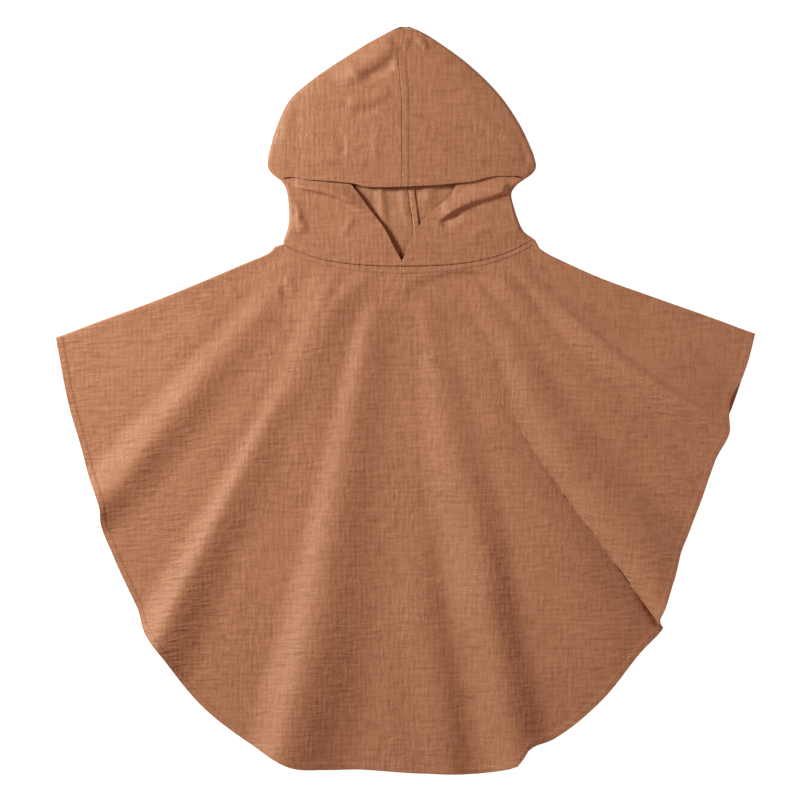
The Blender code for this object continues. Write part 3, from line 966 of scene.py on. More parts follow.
@dataclass(frozen=True)
class PonchoBody:
    """Body of the poncho: one oval of cloth, folded at both shoulders, front in flutes.

    A column is a place between the fan's lines, counted in lines. The close columns stand
    beside the crest of the fifth flute, and unsewn is the part of a column without stitches
    at each fold. The angle of a column at hem_reach gives its place on the hem.
    """

    neck: NeckSeam
    hem: SewnBand
    seam_strip: SewnBand
    fold_lift: float = 0.8
    fold_rest: float = 22.0
    flute_start: float = 40.0
    fold_turn: float = 5.0
    hem_reach: float = 450.0
    front_columns: int = 250
    close_columns: tuple[float, float, int] = (4.66, 5.06, 34)
    back_columns: int = 44
    fold_points: int = 6
    rows: int = 104
    unsewn: float = 0.02
    stitch_points: int = 900

    # reach, left fold, six lines that follow the crests, right fold
    fan: Knots = (
        (123, 14.4, 24.0, 48.0, 70.5, 103.0, 134.0, 155.0, 168.9),
        (130, 16.3, 28.0, 51.0, 71.8, 103.0, 132.0, 153.0, 165.6),
        (150, 17.4, 31.8, 53.8, 73.0, 103.0, 129.0, 150.0, 163.5),
        (190, 18.6, 36.0, 56.0, 74.8, 102.0, 126.0, 147.0, 161.8),
        (240, 19.4, 38.7, 57.2, 76.0, 101.7, 124.8, 145.2, 161.4),
        (300, 19.6, 40.2, 58.2, 76.8, 101.4, 124.0, 145.4, 161.2),
        (370, 19.8, 42.4, 58.7, 77.3, 100.8, 124.8, 146.0, 160.9),
        (450, 19.8, 43.2, 60.0, 77.5, 100.7, 127.0, 146.0, 160.8),
    )
    # angle, reach
    front_hem: Knots = (
        (19.7, 345), (24, 350), (30, 360), (36, 371), (40, 382), (44, 394), (46, 405),
        (50, 419), (56, 444), (58, 459), (62, 474), (68, 497.5), (74, 515), (78, 526),
        (82, 523), (86, 519.5), (92, 522), (100.5, 526), (102.5, 512), (106, 509),
        (112, 489.5), (118, 465), (122, 456), (124.4, 447.5), (127, 440), (129.2, 424),
        (131.5, 405), (138, 381.5), (142.3, 370), (146, 365), (148, 357), (150.5, 350),
        (154, 350.5), (160.8, 346.5),
    )
    # angle, reach
    back_hem: Knots = (
        (19.7, 345), (26, 348), (40, 374), (50, 409), (62, 464), (74, 505), (90, 511),
        (101, 512), (112, 480), (122, 446), (132, 394), (142, 362), (148, 357), (154, 351),
        (160.8, 346.5),
    )
    flutes: tuple[Flute, ...] = FLUTES
    swells: tuple[Swell, ...] = SWELLS
    ridges: tuple[FanRidge, ...] = RIDGES
    creases: tuple[Crease, ...] = ()

    @property
    def right_fold(self) -> int:
        """Number of the line that is the right fold; the left one is 0."""
        return len(self.flutes) + 1

    def line(self, number: int, reach: Field) -> Field:
        """Angle of one of the fan's lines at a reach."""
        return column_curve(self.fan, 1 + number).at(reach)

    def angle(self, column: Field, reach: Field) -> Field:
        """Angle of a column at a reach; whole columns are the fan's lines.

        Args:
            column: Columns, 0 to 7.
            reach: Reaches in millimetres.

        Returns:
            Angles in degrees.
        """
        low = np.minimum(column.astype(int), len(self.flutes))
        lines = np.stack([self.line(number, reach) for number in range(self.right_fold + 1)])
        low = np.broadcast_to(low, reach.shape)[None]
        start = np.take_along_axis(lines, low, 0)[0]
        end = np.take_along_axis(lines, low + 1, 0)[0]
        return blend(start, end, column - low[0])

    def edges(self, column: Field) -> tuple[Field, Field]:
        """Reach of the front's neck edge and of its hem for each column.

        Args:
            column: Columns, 0 to 7.

        Returns:
            Reaches of the neck edge and of the hem.
        """
        at_hem = self.angle(column, np.full(column.shape, self.hem_reach))
        at_neck = self.angle(column, np.full(column.shape, float(self.fan[0][0])))
        return self.neck.reach(at_neck) + NECK_GAP, Curve(self.front_hem).at(at_hem)

    def front(self, column: Field, reach: Field) -> Field:
        """Points of the front layer.

        Args:
            column: Place between the shoulder folds, 0 to 7.
            reach: Reach from the fan's centre.

        Returns:
            Points in millimetres, the last axis x, y, z.
        """
        neck_reach, hem_reach = self.edges(column)
        along = np.clip((reach - neck_reach) / (hem_reach - neck_reach), 0.0, 1.0)
        angle = self.angle(column, reach)
        per_degree = reach * math.pi / 180
        rise, lean = self._flutes(angle, reach)
        start = ease((reach - neck_reach) / self.flute_start)
        level = FRONT_LEVEL + rise * start
        for fold in (0, self.right_fold):
            offset = (angle - self.line(fold, reach)) * per_degree
            lift = self.fold_lift * np.exp(-np.abs(offset) / self.fold_rest) * np.sqrt(along)
            level = level + lift
        for ridge in self.ridges:
            level = level + ridge.relief(angle, reach)
        x, y = fan_place(angle, reach)
        level = level + self.neck.rise(x, reach - neck_reach)
        level = level + total_relief(self.creases, x, y)
        level = soft_floor(level, LOWEST_FRONT)
        level = level + self.hem.relief(hem_reach - reach)
        level = level + self.seam_strip.relief(reach - neck_reach)
        x, y = fan_place(angle + lean * start / per_degree, reach)
        return np.stack([x, y, level], axis=-1)

    def _flutes(self, angle: Field, reach: Field) -> tuple[Field, Field]:
        """Rise and sideways lean of the flutes and of the swells between them.

        Args:
            angle: Angles in degrees.
            reach: Reaches in millimetres.

        Returns:
            Rise and lean in millimetres.
        """
        per_degree = reach * math.pi / 180
        crests = [self.line(0, reach)]
        rise = np.zeros(reach.shape)
        lean = np.zeros(reach.shape)
        for flute in self.flutes:
            crest, high, left, right, over, blunt = (
                Curve(list(zip(FLUTE_REACHES, sizes))).at(reach) for sizes in (
                    flute.crests, flute.rises, flute.lefts, flute.rights, flute.leans,
                    flute.blunt,
                )
            )
            offset = (angle - crest) * per_degree
            share = hump(offset, left, right, flute.skew)
            share = np.where(offset < 0, share**blunt, share)
            rise = rise + high * share
            lean = lean + over * share
            crests.append(crest)
        crests.append(self.line(self.right_fold, reach))
        for number, swell in enumerate(self.swells):
            part = np.clip((angle - crests[number]) / (crests[number + 1] - crests[number]), 0, 1)
            high = Curve(list(zip(SWELL_REACHES, swell.rises))).at(reach)
            rise = rise + high * np.sin(math.pi * part**swell.skew) ** 2
        return rise, lean

    def back(self, across: Field, along: Field) -> Field:
        """Points of the back layer.

        Args:
            across: Place across, 0 at the right fold to 1 at the left one.
            along: Place from the neck, 0, to the hem, 1.

        Returns:
            Points in millimetres, the last axis x, y, z.
        """
        left_end, right_end = self.neck.end_angles
        fold_reach = blend(self.neck.reach(right_end), self.back_hem[-1][1], along)
        right, left = self.line(self.right_fold, fold_reach), self.line(0, fold_reach)
        neck_x = blend(self.neck.end(Side.RIGHT)[0], self.neck.end(Side.LEFT)[0], across)
        rise = FAN_CENTRE[1] - self.neck.height(neck_x)
        neck_angle = np.degrees(np.arctan2(rise, -neck_x))
        turned = (neck_angle - right_end) / (left_end - right_end)
        neck_reach = self.neck.reach(neck_angle) + NECK_GAP
        hem_angle = blend(self.fan[-1][-1], self.fan[-1][1], turned)
        reach = blend(neck_reach, Curve(self.back_hem).at(hem_angle), along)
        x, y = fan_place(blend(right, left, turned), reach)
        return np.stack([x, y, np.full(x.shape, BACK_LEVEL)], axis=-1)

    def build(self, finish: Finish) -> bpy.types.Object:
        """Build the body's cloth.

        Args:
            finish: Material of the cloth.

        Returns:
            The piece.
        """
        column = np.linspace(0.0, float(self.right_fold), self.front_columns + 1)
        column = np.union1d(column, np.linspace(*self.close_columns))[None]
        neck_reach, hem_reach = self.edges(column)
        near, far = self.seam_strip.rows(), self.hem.rows()[::-1]
        share = np.linspace(0.0, 1.0, self.rows)[1:-1, None]
        start, end = neck_reach + near[-1], hem_reach - far[0]
        reach = np.concatenate([
            neck_reach + near[:, None], blend(start, end, share), hem_reach - far[:, None],
        ])
        along = (reach - neck_reach) / (hem_reach - neck_reach)
        column = np.broadcast_to(column, reach.shape)
        front = self.front(column, reach)

        across = np.linspace(0.0, 1.0, self.back_columns + 1)[None]
        mean_along = along.mean(axis=1, keepdims=True)
        back = self.back(*np.broadcast_arrays(across, mean_along))
        back[:, 0, :2] = front[:, -1, :2]
        back[:, -1, :2] = front[:, 0, :2]
        turn = ease(mean_along[:, 0] * self.fold_turn)
        right_out = fold_direction(front[:, -1] - front[:, -3], Side.RIGHT.value, turn)
        left_out = fold_direction(front[:, 0] - front[:, 2], Side.LEFT.value, turn)
        right = half_circle(front[:, -1], back[:, 0], right_out, self.fold_points)
        left = half_circle(back[:, -1], front[:, 0], left_out, self.fold_points)
        upper = np.concatenate([back[:, -1:], left, front, right, back[:, :1]], axis=1)

        back_cut = np.stack([back[..., 0], BODY_BACK_ON_CUT - back[..., 1]], axis=-1)
        patches = [(upper, self._flat_cut(upper, upper.shape[1] // 2)), (back, back_cut)]
        return ClothShell("body_cloth", patches).build(finish)

    @staticmethod
    def _flat_cut(points: Field, middle: int) -> Field:
        """Place of each point on the flat cut, opened out from the middle column.

        Args:
            points: Rows by columns by three.
            middle: Number of the column that stays.

        Returns:
            Rows by columns by two.
        """
        from_x = points[..., 0] - FAN_CENTRE[0]
        from_y = points[..., 1] - FAN_CENTRE[1]
        reach = np.hypot(from_x, from_y)
        steps = np.linalg.norm(np.diff(points, axis=1), axis=2)
        outward = np.diff(reach, axis=1)
        across = np.sqrt(np.maximum(steps**2 - outward**2, 0.0))
        turn = np.cumsum(2 * across / (reach[:, 1:] + reach[:, :-1]), axis=1)
        turn = np.concatenate([np.zeros((len(points), 1)), turn], axis=1)
        centre = np.degrees(np.arctan2(-from_y, -from_x))[:, middle:middle + 1]
        angle = centre + np.degrees(turn - turn[:, middle:middle + 1])
        return np.stack(fan_place(angle, reach), axis=-1)

    def stitch_lines(self) -> list[Field]:
        """Lines on which the hem and the neck's seam strip are sewn.

        Returns:
            Points along each line, rows of three in millimetres.
        """
        ends = self.unsewn, self.right_fold - self.unsewn
        column = np.linspace(*ends, self.stitch_points)
        neck_reach, hem_reach = self.edges(column)
        return [
            self.front(column, hem_reach - self.hem.stitch_at),
            self.front(column, neck_reach + self.seam_strip.stitch_at),
        ]


# ---------------------------------------------------------------- the hood


@dataclass(frozen=True)
class Hood:
    """Two-piece hood: sizes that both halves share.

    A rest is the length over which something settles, and the stitches keep away from the
    edges by the distances that begin with sewn.
    """

    neck: NeckSeam
    hem: SewnBand
    strip: SewnBand
    corner_height: float = 205.7
    tip_height: float = 348.8
    lapel_lift: float = 1.3
    lapel_rest: float = 20.0
    tuck_from: float = 197.0
    tuck: float = 7.0
    tuck_share: float = 0.8
    crown_level: float = 3.2
    crown_rise: float = 8.0
    crown_fade: int = 4
    slope_step: float = 1.0
    puff: float = 6.5
    puff_power: float = 0.65
    puff_rest: float = 60.0
    puff_at_hem: float = 0.62
    puff_hem_rest: float = 45.0
    crease_rest: float = 8.0
    band_rest: float = 6.0
    tip_half: float = 4.5
    tip_gap: float = 2.0
    turn: float = 3.0
    fold_points: int = 6
    back_columns: int = 40
    front_columns: int = 84
    bands_in_row: float = 4.0
    lapel_rows: int = 64
    crown_rows: int = 84
    sewn_from_seam: float = 1.0
    sewn_from_side: float = 3.0
    sewn_from_tip: float = 9.0
    stitch_points: int = 300

    # height, left, right
    outline: Knots = (
        (144.5, -111.6, 121.2), (150.0, -110.8, 119.2), (160, -108.9, 112.4),
        (171, -107.4, 107.5), (184, -107.9, 102.9), (195, -109.6, 100.5),
        (201, -112.0, 105.0), (205.7, -116.0, 112.0), (211, -123.0, 119.5),
        (217, -127.0, 123.4), (225, -127.2, 122.4), (235, -125.2, 118.9),
        (257, -118.4, 108.5), (281, -106.3, 92.7), (298, -87.3, 77.5), (313, -66.0, 61.2),
        (323, -50.3, 48.5), (333, -34.5, 34.2), (341, -19.8, 22.0), (346, -10.6, 12.2),
        (348.8, -4.5, 6.0),
    )
    # height, front, back
    centre_seam: Knots = (
        (125, -1.9, 9.0), (158, -1.9, 10.3), (199, -2.3, 5.3), (280, -2.3, 1.5),
        (300, -3.8, 0.9), (322, -5.0, 0.9), (335, -0.5, 0.9), (348.8, 0.9, 0.9),
    )
    # height, left, right
    lapels: Knots = (
        (125, -2.05, -1.75), (129.5, -2.05, -1.75), (130.5, -2.3, -1.5), (141, -8.3, 3.2),
        (155, -15.3, 9.8), (163, -20, 14.2), (172, -27, 21.5), (181, -34, 31.5),
        (190, -40.5, 43), (201, -48.6, 48.6), (212, -56, 55),
    )
    # place across, height
    crown_hem: Knots = (
        (-114.5, 205.7), (-108, 207.0), (-101, 206.9), (-90, 205), (-77, 204.3),
        (-48.6, 202), (-34.6, 198.8), (-2, 198.8), (10, 199.5), (31, 200.4), (48.6, 202),
        (63.6, 203.4), (81, 207.6), (100, 208.0), (108, 207.6), (112.5, 205.7),
    )
    # place across, height
    lapel_top: Knots = (
        (-114.5, 205.7), (-108, 206.0), (-101, 207.5), (-85, 209.5), (-56, 211), (55, 211),
        (84, 210.5), (100, 208.5), (107, 206.5), (112.5, 205.7),
    )
    lapel_creases: tuple[Crease, ...] = ()
    crown_creases: tuple[Crease, ...] = ()
    back_creases: tuple[Crease, ...] = ()

    @property
    def last_row(self) -> float:
        """Height of the row at which the hood folds over its tip."""
        return self.tip_height - CLOTH / 2

    def side_at(self, height: Field | float, side: Side) -> Field:
        """Outline of the hood at a height."""
        return column_curve(self.outline, side.column).at(height)

    def seam_at(self, height: Field | float, layer: Layer) -> Field:
        """Sideways place of the centre seam at a height."""
        return column_curve(self.centre_seam, layer.value).at(height)

    def part_up(self, height: Field) -> Field:
        """Part of the way from the corner of the face opening to the tip."""
        return (height - self.corner_height) / (self.tip_height - self.corner_height)

    def crown_edge(self, height: Field) -> Field:
        """Middle of the crown's cloth beside its side folds, over the surface."""
        part = np.minimum(self.part_up(height) * self.crown_rise, 1.0)
        return blend(FRONT_LEVEL, self.crown_level, part)

    def outward(self, height: Field, side: Side) -> Field:
        """Direction square to the outline at each height, away from the hood.

        Args:
            height: Heights.
            side: Which side of the outline.

        Returns:
            Rows of unit directions.
        """
        low = np.maximum(height - self.slope_step, self.outline[0][0])
        high = np.minimum(height + self.slope_step, self.outline[-1][0])
        drift = self.side_at(high, side) - self.side_at(low, side)
        sign = side.value
        square = np.stack([sign * (high - low), -sign * drift, np.zeros(len(height))], axis=-1)
        return square / np.linalg.norm(square, axis=1, keepdims=True)

    def crown_puff(self, x: Field, height: Field) -> Field:
        """Rise of the crown's cloth over its side folds.

        Args:
            x: Places across.
            height: Heights at the outline.

        Returns:
            Rise in millimetres.
        """
        left, right = self.side_at(height, Side.LEFT), self.side_at(height, Side.RIGHT)
        part = np.clip((x - left) / (right - left), 0.0, 1.0)
        to_tip = np.clip((self.tip_height - height) / self.puff_rest, 0.0, 1.0)
        fullness = np.sin(math.pi * part) ** self.puff_power
        from_hem = ease((height - self.corner_height) / self.puff_hem_rest)
        fullness = fullness * blend(self.puff_at_hem, 1.0, from_hem)
        return self.puff * fullness * np.sin(to_tip * math.pi / 2)

    def lapel_level(self, x: Field, y: Field, from_side: Field) -> Field:
        """Middle of a lapel's cloth over the surface.

        Args:
            x: Places across.
            y: Places along.
            from_side: Their distances from the side fold.

        Returns:
            Levels in millimetres.
        """
        from_seam = np.maximum(y - self.neck.height(x), 0.0)
        part = np.minimum(from_seam / self.lapel_rest, 1.0)
        settle = ease(from_side / self.crease_rest)
        lift = self.lapel_lift * part * part + total_relief(self.lapel_creases, x, y) * settle
        lost = self.tuck_share * ease((y - self.tuck_from) / self.tuck)
        level = FRONT_LEVEL + self.neck.rise(x, from_seam) + lift * (1.0 - lost)
        return soft_floor(level, LOWEST_FRONT)

    def back_level(self, x: Field, y: Field) -> Field:
        """Middle of the hood's back layer over the surface."""
        return BACK_LEVEL + np.maximum(total_relief(self.back_creases, x, y), 0.0)

    def crown_level_at(self, x: Field, height: Field, from_side: Field) -> Field:
        """Middle of the crown's cloth over the surface."""
        relief = total_relief(self.crown_creases, x, height) * ease(from_side / self.crease_rest)
        return self.crown_edge(height) + self.crown_puff(x, height) + relief


@dataclass(frozen=True)
class HoodHalf:
    """One half of the hood, folded at its side; the face opening is its slit."""

    name: str
    side: Side
    hood: Hood

    def seam(self, height: Field | float, layer: Layer) -> Field:
        """Where this half ends at the centre seam, half a gap from its middle."""
        return self.hood.seam_at(height, layer) + self.side.value * SEAM_GAP / 2

    def _columns(self, start: Field, end: Field) -> Field:
        """Places across each row of the front, closer beside its end where it is sewn.

        Args:
            start: Place of the side fold in each row.
            end: Place of the row's front end.

        Returns:
            Rows by columns.
        """
        width = np.abs(end - start)
        near = self.hood.strip.rows()[::-1]
        fit = np.minimum(width / (self.hood.bands_in_row * near[0]), 1.0)
        from_end = near[None] * fit[:, None]
        dense = end[:, None] + self.side.value * from_end
        share = np.linspace(0.0, 1.0, self.hood.front_columns)[None, :-1]
        return np.concatenate([blend(start[:, None], dense[:, :1], share), dense], axis=1)

    def _section(self, height: Field, turn: Field, seam: Field, front_end: Field, level: Field,
                 front_place: Callable[[Field, Field], Field],
                 back_place: Callable[[Field], Field]) -> tuple[Field, Field, Field]:
        """Rows of the hood half, from back seam round the side fold to the front end.

        Args:
            height: Height of each row at the outline.
            turn: How far the fold's direction has turned in each row.
            seam: Place of the back seam in each row.
            front_end: Place of the front end in each row.
            level: Level of the front's cloth beside the fold in each row.
            front_place: Points of the front for places across and distances from the fold.
            back_place: Points of the back for places across.

        Returns:
            Points of the back, of the fold and of the front.
        """
        side = self.side
        out = fold_direction(self.hood.outward(height, side), side.value, turn)
        inward = ((level - BACK_LEVEL) / 2 + CLOTH / 2) * turn
        edge = self.hood.side_at(height, side) - out[:, 0] * inward
        rise = (-out[:, 1] * inward)[:, None]
        step = np.linspace(0.0, 1.0, self.hood.back_columns + 1)[None]
        back = back_place(blend(seam[:, None], edge[:, None], step))
        back[..., 1] += rise * step**2
        across = self._columns(edge, front_end)
        front = front_place(across, np.abs(across - edge[:, None]))
        width = np.maximum(np.abs(front_end - edge), TINY)[:, None]
        front[..., 1] += rise * (np.abs(front_end[:, None] - across) / width) ** 2
        front[:, 0] = np.stack([back[:, -1, 0], back[:, -1, 1], level], axis=-1)
        fold = half_circle(back[:, -1], front[:, 0], out, self.hood.fold_points)
        return back, fold, front

    def lower(self) -> tuple[Field, Field, Field]:
        """Rows below the corner of the face opening: neck, lapel and the back behind it.

        Returns:
            Points of the back, of the fold and of the front.
        """
        hood = self.hood
        part = np.linspace(0.0, 1.0, hood.lapel_rows + 1)
        height = blend(hood.neck.end(self.side)[1], hood.corner_height, part)
        seam = self.seam(blend(hood.neck.middle, hood.corner_height, part), Layer.BACK)
        edge = column_curve(hood.lapels, self.side.column)
        front_end = edge.at(blend(hood.lapels[0][0], hood.lapels[-1][0], part))
        level = np.full(part.shape, FRONT_LEVEL)
        top = Curve(hood.lapel_top)

        def front_place(x: Field, from_side: Field) -> Field:
            """Points of the lapel."""
            y = blend(hood.neck.height(x), top.at(x), part[:, None])
            return np.stack([x, y, hood.lapel_level(x, y, from_side)], axis=-1)

        def back_place(x: Field) -> Field:
            """Points of the back behind it."""
            y = blend(hood.neck.height(x), hood.corner_height, part[:, None])
            return np.stack([x, y, hood.back_level(x, y)], axis=-1)

        turn = ease(part * hood.turn)
        return self._section(height, turn, seam, front_end, level, front_place, back_place)

    def upper(self) -> tuple[Field, Field, Field]:
        """Rows above the corner: the crown, its hem and the back behind it.

        Returns:
            Points of the back, of the fold and of the front.
        """
        hood = self.hood
        near = hood.hem.rows()
        share = np.linspace(0.0, 1.0, hood.crown_rows)[1:]
        first, last = hood.corner_height + near[-1], hood.last_row - hood.tip_gap
        height = np.concatenate([
            hood.corner_height + near, blend(first, last, np.sin(share * math.pi / 2)),
        ])
        front_end = self.seam(height, Layer.FRONT)

        def front_place(x: Field, from_side: Field) -> Field:
            """Points of the crown."""
            rows = np.broadcast_to(height[:, None], x.shape)
            return self._crown(x, rows, from_side, front_end[:, None])

        def back_place(x: Field) -> Field:
            """Points of the back behind it."""
            y = np.broadcast_to(height[:, None], x.shape)
            return np.stack([x, y, hood.back_level(x, y)], axis=-1)

        rows = self._section(height, np.ones(height.shape), self.seam(height, Layer.BACK),
                             front_end, hood.crown_edge(height), front_place, back_place)
        return tuple(np.concatenate([each, tip]) for each, tip in zip(rows, self._tip(rows)))

    def _crown(self, x: Field, height: Field, from_side: Field, seam: Field) -> Field:
        """Points of the crown with its hem and, on the right half, its felled seam.

        Args:
            x: Places across.
            height: Their heights at the outline.
            from_side: Their distances from the side fold.
            seam: Place of the centre seam at each height.

        Returns:
            Points in millimetres, the last axis x, y, z.
        """
        hood = self.hood
        fade = (1.0 - hood.part_up(height)) ** hood.crown_fade
        y = height + (Curve(hood.crown_hem).at(x) - hood.corner_height) * fade
        settle = ease(from_side / hood.band_rest)
        z = hood.crown_level_at(x, height, from_side)
        z = z + hood.hem.relief(height - hood.corner_height) * settle
        if self.side is Side.RIGHT:
            z = z + hood.strip.relief(np.abs(x - seam)) * settle
        return np.stack([x, y, z], axis=-1)

    def stitch_lines(self) -> list[Field]:
        """Lines on which the crown's hem and the felled centre seam are sewn.

        Returns:
            Points along each line, rows of three in millimetres.
        """
        hood, sign = self.hood, self.side.value
        height = np.full(hood.stitch_points, hood.corner_height + hood.hem.stitch_at)
        seam = float(hood.seam_at(hood.corner_height, Layer.FRONT)) + sign * hood.sewn_from_seam
        side = float(hood.side_at(height[0], self.side)) - sign * hood.sewn_from_side
        routes = [(np.linspace(side, seam, hood.stitch_points), height)]
        if self.side is Side.RIGHT:
            ends = hood.corner_height + hood.sewn_from_seam, hood.tip_height - hood.sewn_from_tip
            height = np.linspace(*ends, hood.stitch_points)
            routes.append((hood.seam_at(height, Layer.FRONT) + hood.strip.stitch_at, height))
        return [
            self._crown(x, height, np.abs(hood.side_at(height, self.side) - x),
                        hood.seam_at(height, Layer.FRONT))
            for x, height in routes
        ]

    def _tip(self, rows: tuple[Field, Field, Field]) -> tuple[Field, Field, Field]:
        """Last row of the hood, where front and back meet in the fold over the tip.

        Args:
            rows: Points of the back, of the fold and of the front up to there.

        Returns:
            The last row of each.
        """
        height, middle = self.hood.last_row, (BACK_LEVEL + self.hood.crown_level) / 2
        seam = float(self.seam(height, Layer.BACK))
        side = seam + self.side.value * self.hood.tip_half
        back, fold, front = rows

        def line(part: Field) -> Field:
            """Points of the row at parts of the way from the side fold to the seam."""
            x = blend(side, seam, part)
            return np.stack([x, np.full(x.shape, height), np.full(x.shape, middle)], -1)[None]

        across = front[-1, :, 0]
        front_part = np.abs(across - across[0]) / abs(across[-1] - across[0])
        back_part = np.linspace(1.0, 0.0, back.shape[1])
        return line(back_part), line(np.zeros(fold.shape[1])), line(front_part)

    def build(self, finish: Finish) -> bpy.types.Object:
        """Build this half's cloth.

        Args:
            finish: Material of the cloth.

        Returns:
            The piece.
        """
        patches = []
        for back, fold, front in (self.lower(), self.upper()):
            upper = np.concatenate([back[:, -1:], fold, front], axis=1)
            patches.append((upper, upper[..., :2].copy()))
            patches.append((back, back[..., :2] + np.array([0.0, HOOD_BACK_ON_CUT])))
        return ClothShell(self.name, patches).build(finish)


@dataclass(frozen=True)
class Allowance:
    """Narrow turned-in edge of cloth that bridges a seam on the inside.

    Room is what lies between it and the cloth beside it, and past is how far it runs past the
    seam's two ends, along the axis that the seam follows.
    """

    name: str
    half: float
    room: float
    past: tuple[float, float]
    points: int
    thickness: float = 0.4
    columns: int = 4

    @property
    def from_cloth(self) -> float:
        """Distance of its middle from the middle of the cloth beside it."""
        return CLOTH / 2 + self.room + self.thickness / 2

    def along(self, start: float, end: float) -> Field:
        """Places along it, for a seam from start to end."""
        return np.linspace(start + self.past[0], end + self.past[1], self.points)

    def build(self, line: Field, across: Field, finish: Finish) -> bpy.types.Object:
        """Build the strip.

        Args:
            line: Points along its middle, rows of three in millimetres.
            across: Level directions across it, rows of three.
            finish: Material of the cloth.

        Returns:
            The piece.
        """
        part = np.linspace(-self.half, self.half, self.columns + 1)[None, :, None]
        points = line[:, None] + across[:, None] * part
        shell = ClothShell(self.name, [(points, points[..., :2].copy())], self.thickness)
        return shell.build(finish)


@dataclass(frozen=True)
class NeckAllowance(Allowance):
    """Turned-in edges under the neck seam, between the two layers."""

    name: str = "neck_allowance"
    half: float = 3.4
    room: float = 0.1
    past: tuple[float, float] = (-0.6, 0.6)
    points: int = 120

    def lay(self, neck: NeckSeam, finish: Finish) -> bpy.types.Object:
        """Build it under its seam.

        Args:
            neck: The seam.
            finish: Material of the cloth.

        Returns:
            The piece.
        """
        x = self.along(neck.end(Side.LEFT)[0], neck.end(Side.RIGHT)[0])
        across = np.stack([-np.gradient(neck.height(x), x), np.ones(x.shape), np.zeros(x.shape)], -1)
        across = across / np.linalg.norm(across, axis=1, keepdims=True)
        level = FRONT_LEVEL + neck.rise(x, np.zeros(x.shape)) - self.from_cloth
        line = np.stack([x, neck.height(x) - NECK_GAP / 2, level], axis=-1)
        return self.build(line, across, finish)


@dataclass(frozen=True)
class HoodAllowance(Allowance):
    """Felled edges on the inside of the hood's back seam, over the highest cloth they cross.

    Beside is how far it lies to the right of the seam, and the cloth under it is looked up in
    so many places to both sides.
    """

    name: str = "hood_allowance"
    half: float = 3.0
    room: float = 0.25
    past: tuple[float, float] = (6.0, -3.0)
    points: int = 90
    beside: float = 1.6
    look_half: float = 3.6
    looks: int = 9

    def lay(self, hood: Hood, finish: Finish) -> bpy.types.Object:
        """Build it over its seam.

        Args:
            hood: The hood.
            finish: Material of the cloth.

        Returns:
            The piece.
        """
        y = self.along(hood.neck.middle, hood.tip_height)
        x = hood.seam_at(y, Layer.BACK) + self.beside
        asides = np.linspace(-self.look_half, self.look_half, self.looks)
        level = np.max([hood.back_level(x + aside, y) for aside in asides], axis=0)
        line = np.stack([x, y, level + self.from_cloth], axis=-1)
        return self.build(line, np.tile((1.0, 0.0, 0.0), (len(y), 1)), finish)


# ---------------------------------------------------------------- the studio


@dataclass(frozen=True)
class Lamp:
    """Soft round lamp.

    Azimuth is the side it shines from, in degrees from X towards Y, and elevation its degrees
    above the floor. Distance and size are in metres, and power is in watts.
    """

    name: str
    azimuth: float
    elevation: float
    distance: float
    size: float
    power: float

    def build(self, tint: Colour) -> None:
        """Hang the lamp, turned to the garment and unseen by the camera.

        Args:
            tint: Colour of its light.
        """
        lamp = bpy.data.lights.new(self.name, "AREA")
        lamp.shape = "DISK"
        lamp.size = self.size
        lamp.energy = self.power
        lamp.color = tint
        turn, tilt = math.radians(self.azimuth), math.radians(self.elevation)
        to_lamp = Vector((
            math.cos(tilt) * math.cos(turn), math.cos(tilt) * math.sin(turn), math.sin(tilt),
        ))
        holder = bpy.data.objects.new(self.name, lamp)
        holder.location = to_lamp * self.distance
        holder.rotation_euler = to_lamp.to_track_quat("Z", "Y").to_euler()
        holder.visible_camera = False
        bpy.context.scene.collection.objects.link(holder)


@dataclass(frozen=True)
class Studio:
    """White floor, soft key light from the left, two weak ones, fill, and the camera.

    The frame and the drop of the floor are in millimetres, lens and sensor in millimetres of
    the camera, and the floor's half and the camera's range in metres.
    """

    frame_width: float = 748.0
    frame_centre: tuple[float, float] = (-5.1, 0.3)
    lens: float = 135.0
    sensor: float = 36.0
    camera_range: float = 50.0
    lamps: tuple[Lamp, ...] = (
        Lamp("key", 154.0, 30.0, 1.65, 0.4, 37.0),
        Lamp("second", 222.0, 28.0, 3.0, 1.0, 14.0),
        Lamp("third", 18.0, 34.0, 1.25, 0.5, 3.0),
    )
    lamp_tint: Colour = (0.90, 1.07, 1.02)
    fill: float = 0.212
    fill_tint: Colour = (1.0, 0.35, 0.24)
    floor_half: float = 6.0
    floor_drop: float = 0.2

    def build(self) -> None:
        """Build floor, lights and camera."""
        self._floor()
        for lamp in self.lamps:
            lamp.build(self.lamp_tint)
        self._fill()
        self._camera()
        bpy.context.scene.view_settings.view_transform = "Standard"

    def _floor(self) -> None:
        """Plain floor just under the garment."""
        mesh = bmesh.new()
        bmesh.ops.create_grid(mesh, x_segments=1, y_segments=1, size=self.floor_half)
        bmesh.ops.translate(mesh, verts=mesh.verts, vec=(0.0, 0.0, -self.floor_drop * MM))
        finished_piece("floor", mesh, FloorFinish().material())

    def _fill(self) -> None:
        """Even light from all round."""
        world = bpy.data.worlds.new("fill")
        world.use_nodes = True
        background = world.node_tree.nodes["Background"]
        background.inputs["Color"].default_value = (*self.fill_tint, 1.0)
        background.inputs["Strength"].default_value = self.fill
        bpy.context.scene.world = world

    def _camera(self) -> None:
        """Camera straight above, framed on the garment."""
        camera = bpy.data.cameras.new("camera")
        camera.lens = self.lens
        camera.sensor_width = self.sensor
        camera.clip_end = self.camera_range
        holder = bpy.data.objects.new("camera", camera)
        distance = self.frame_width * MM * self.lens / self.sensor
        holder.location = (self.frame_centre[0] * MM, self.frame_centre[1] * MM, distance)
        bpy.context.scene.collection.objects.link(holder)
        bpy.context.scene.camera = holder


# ---------------------------------------------------------------- building


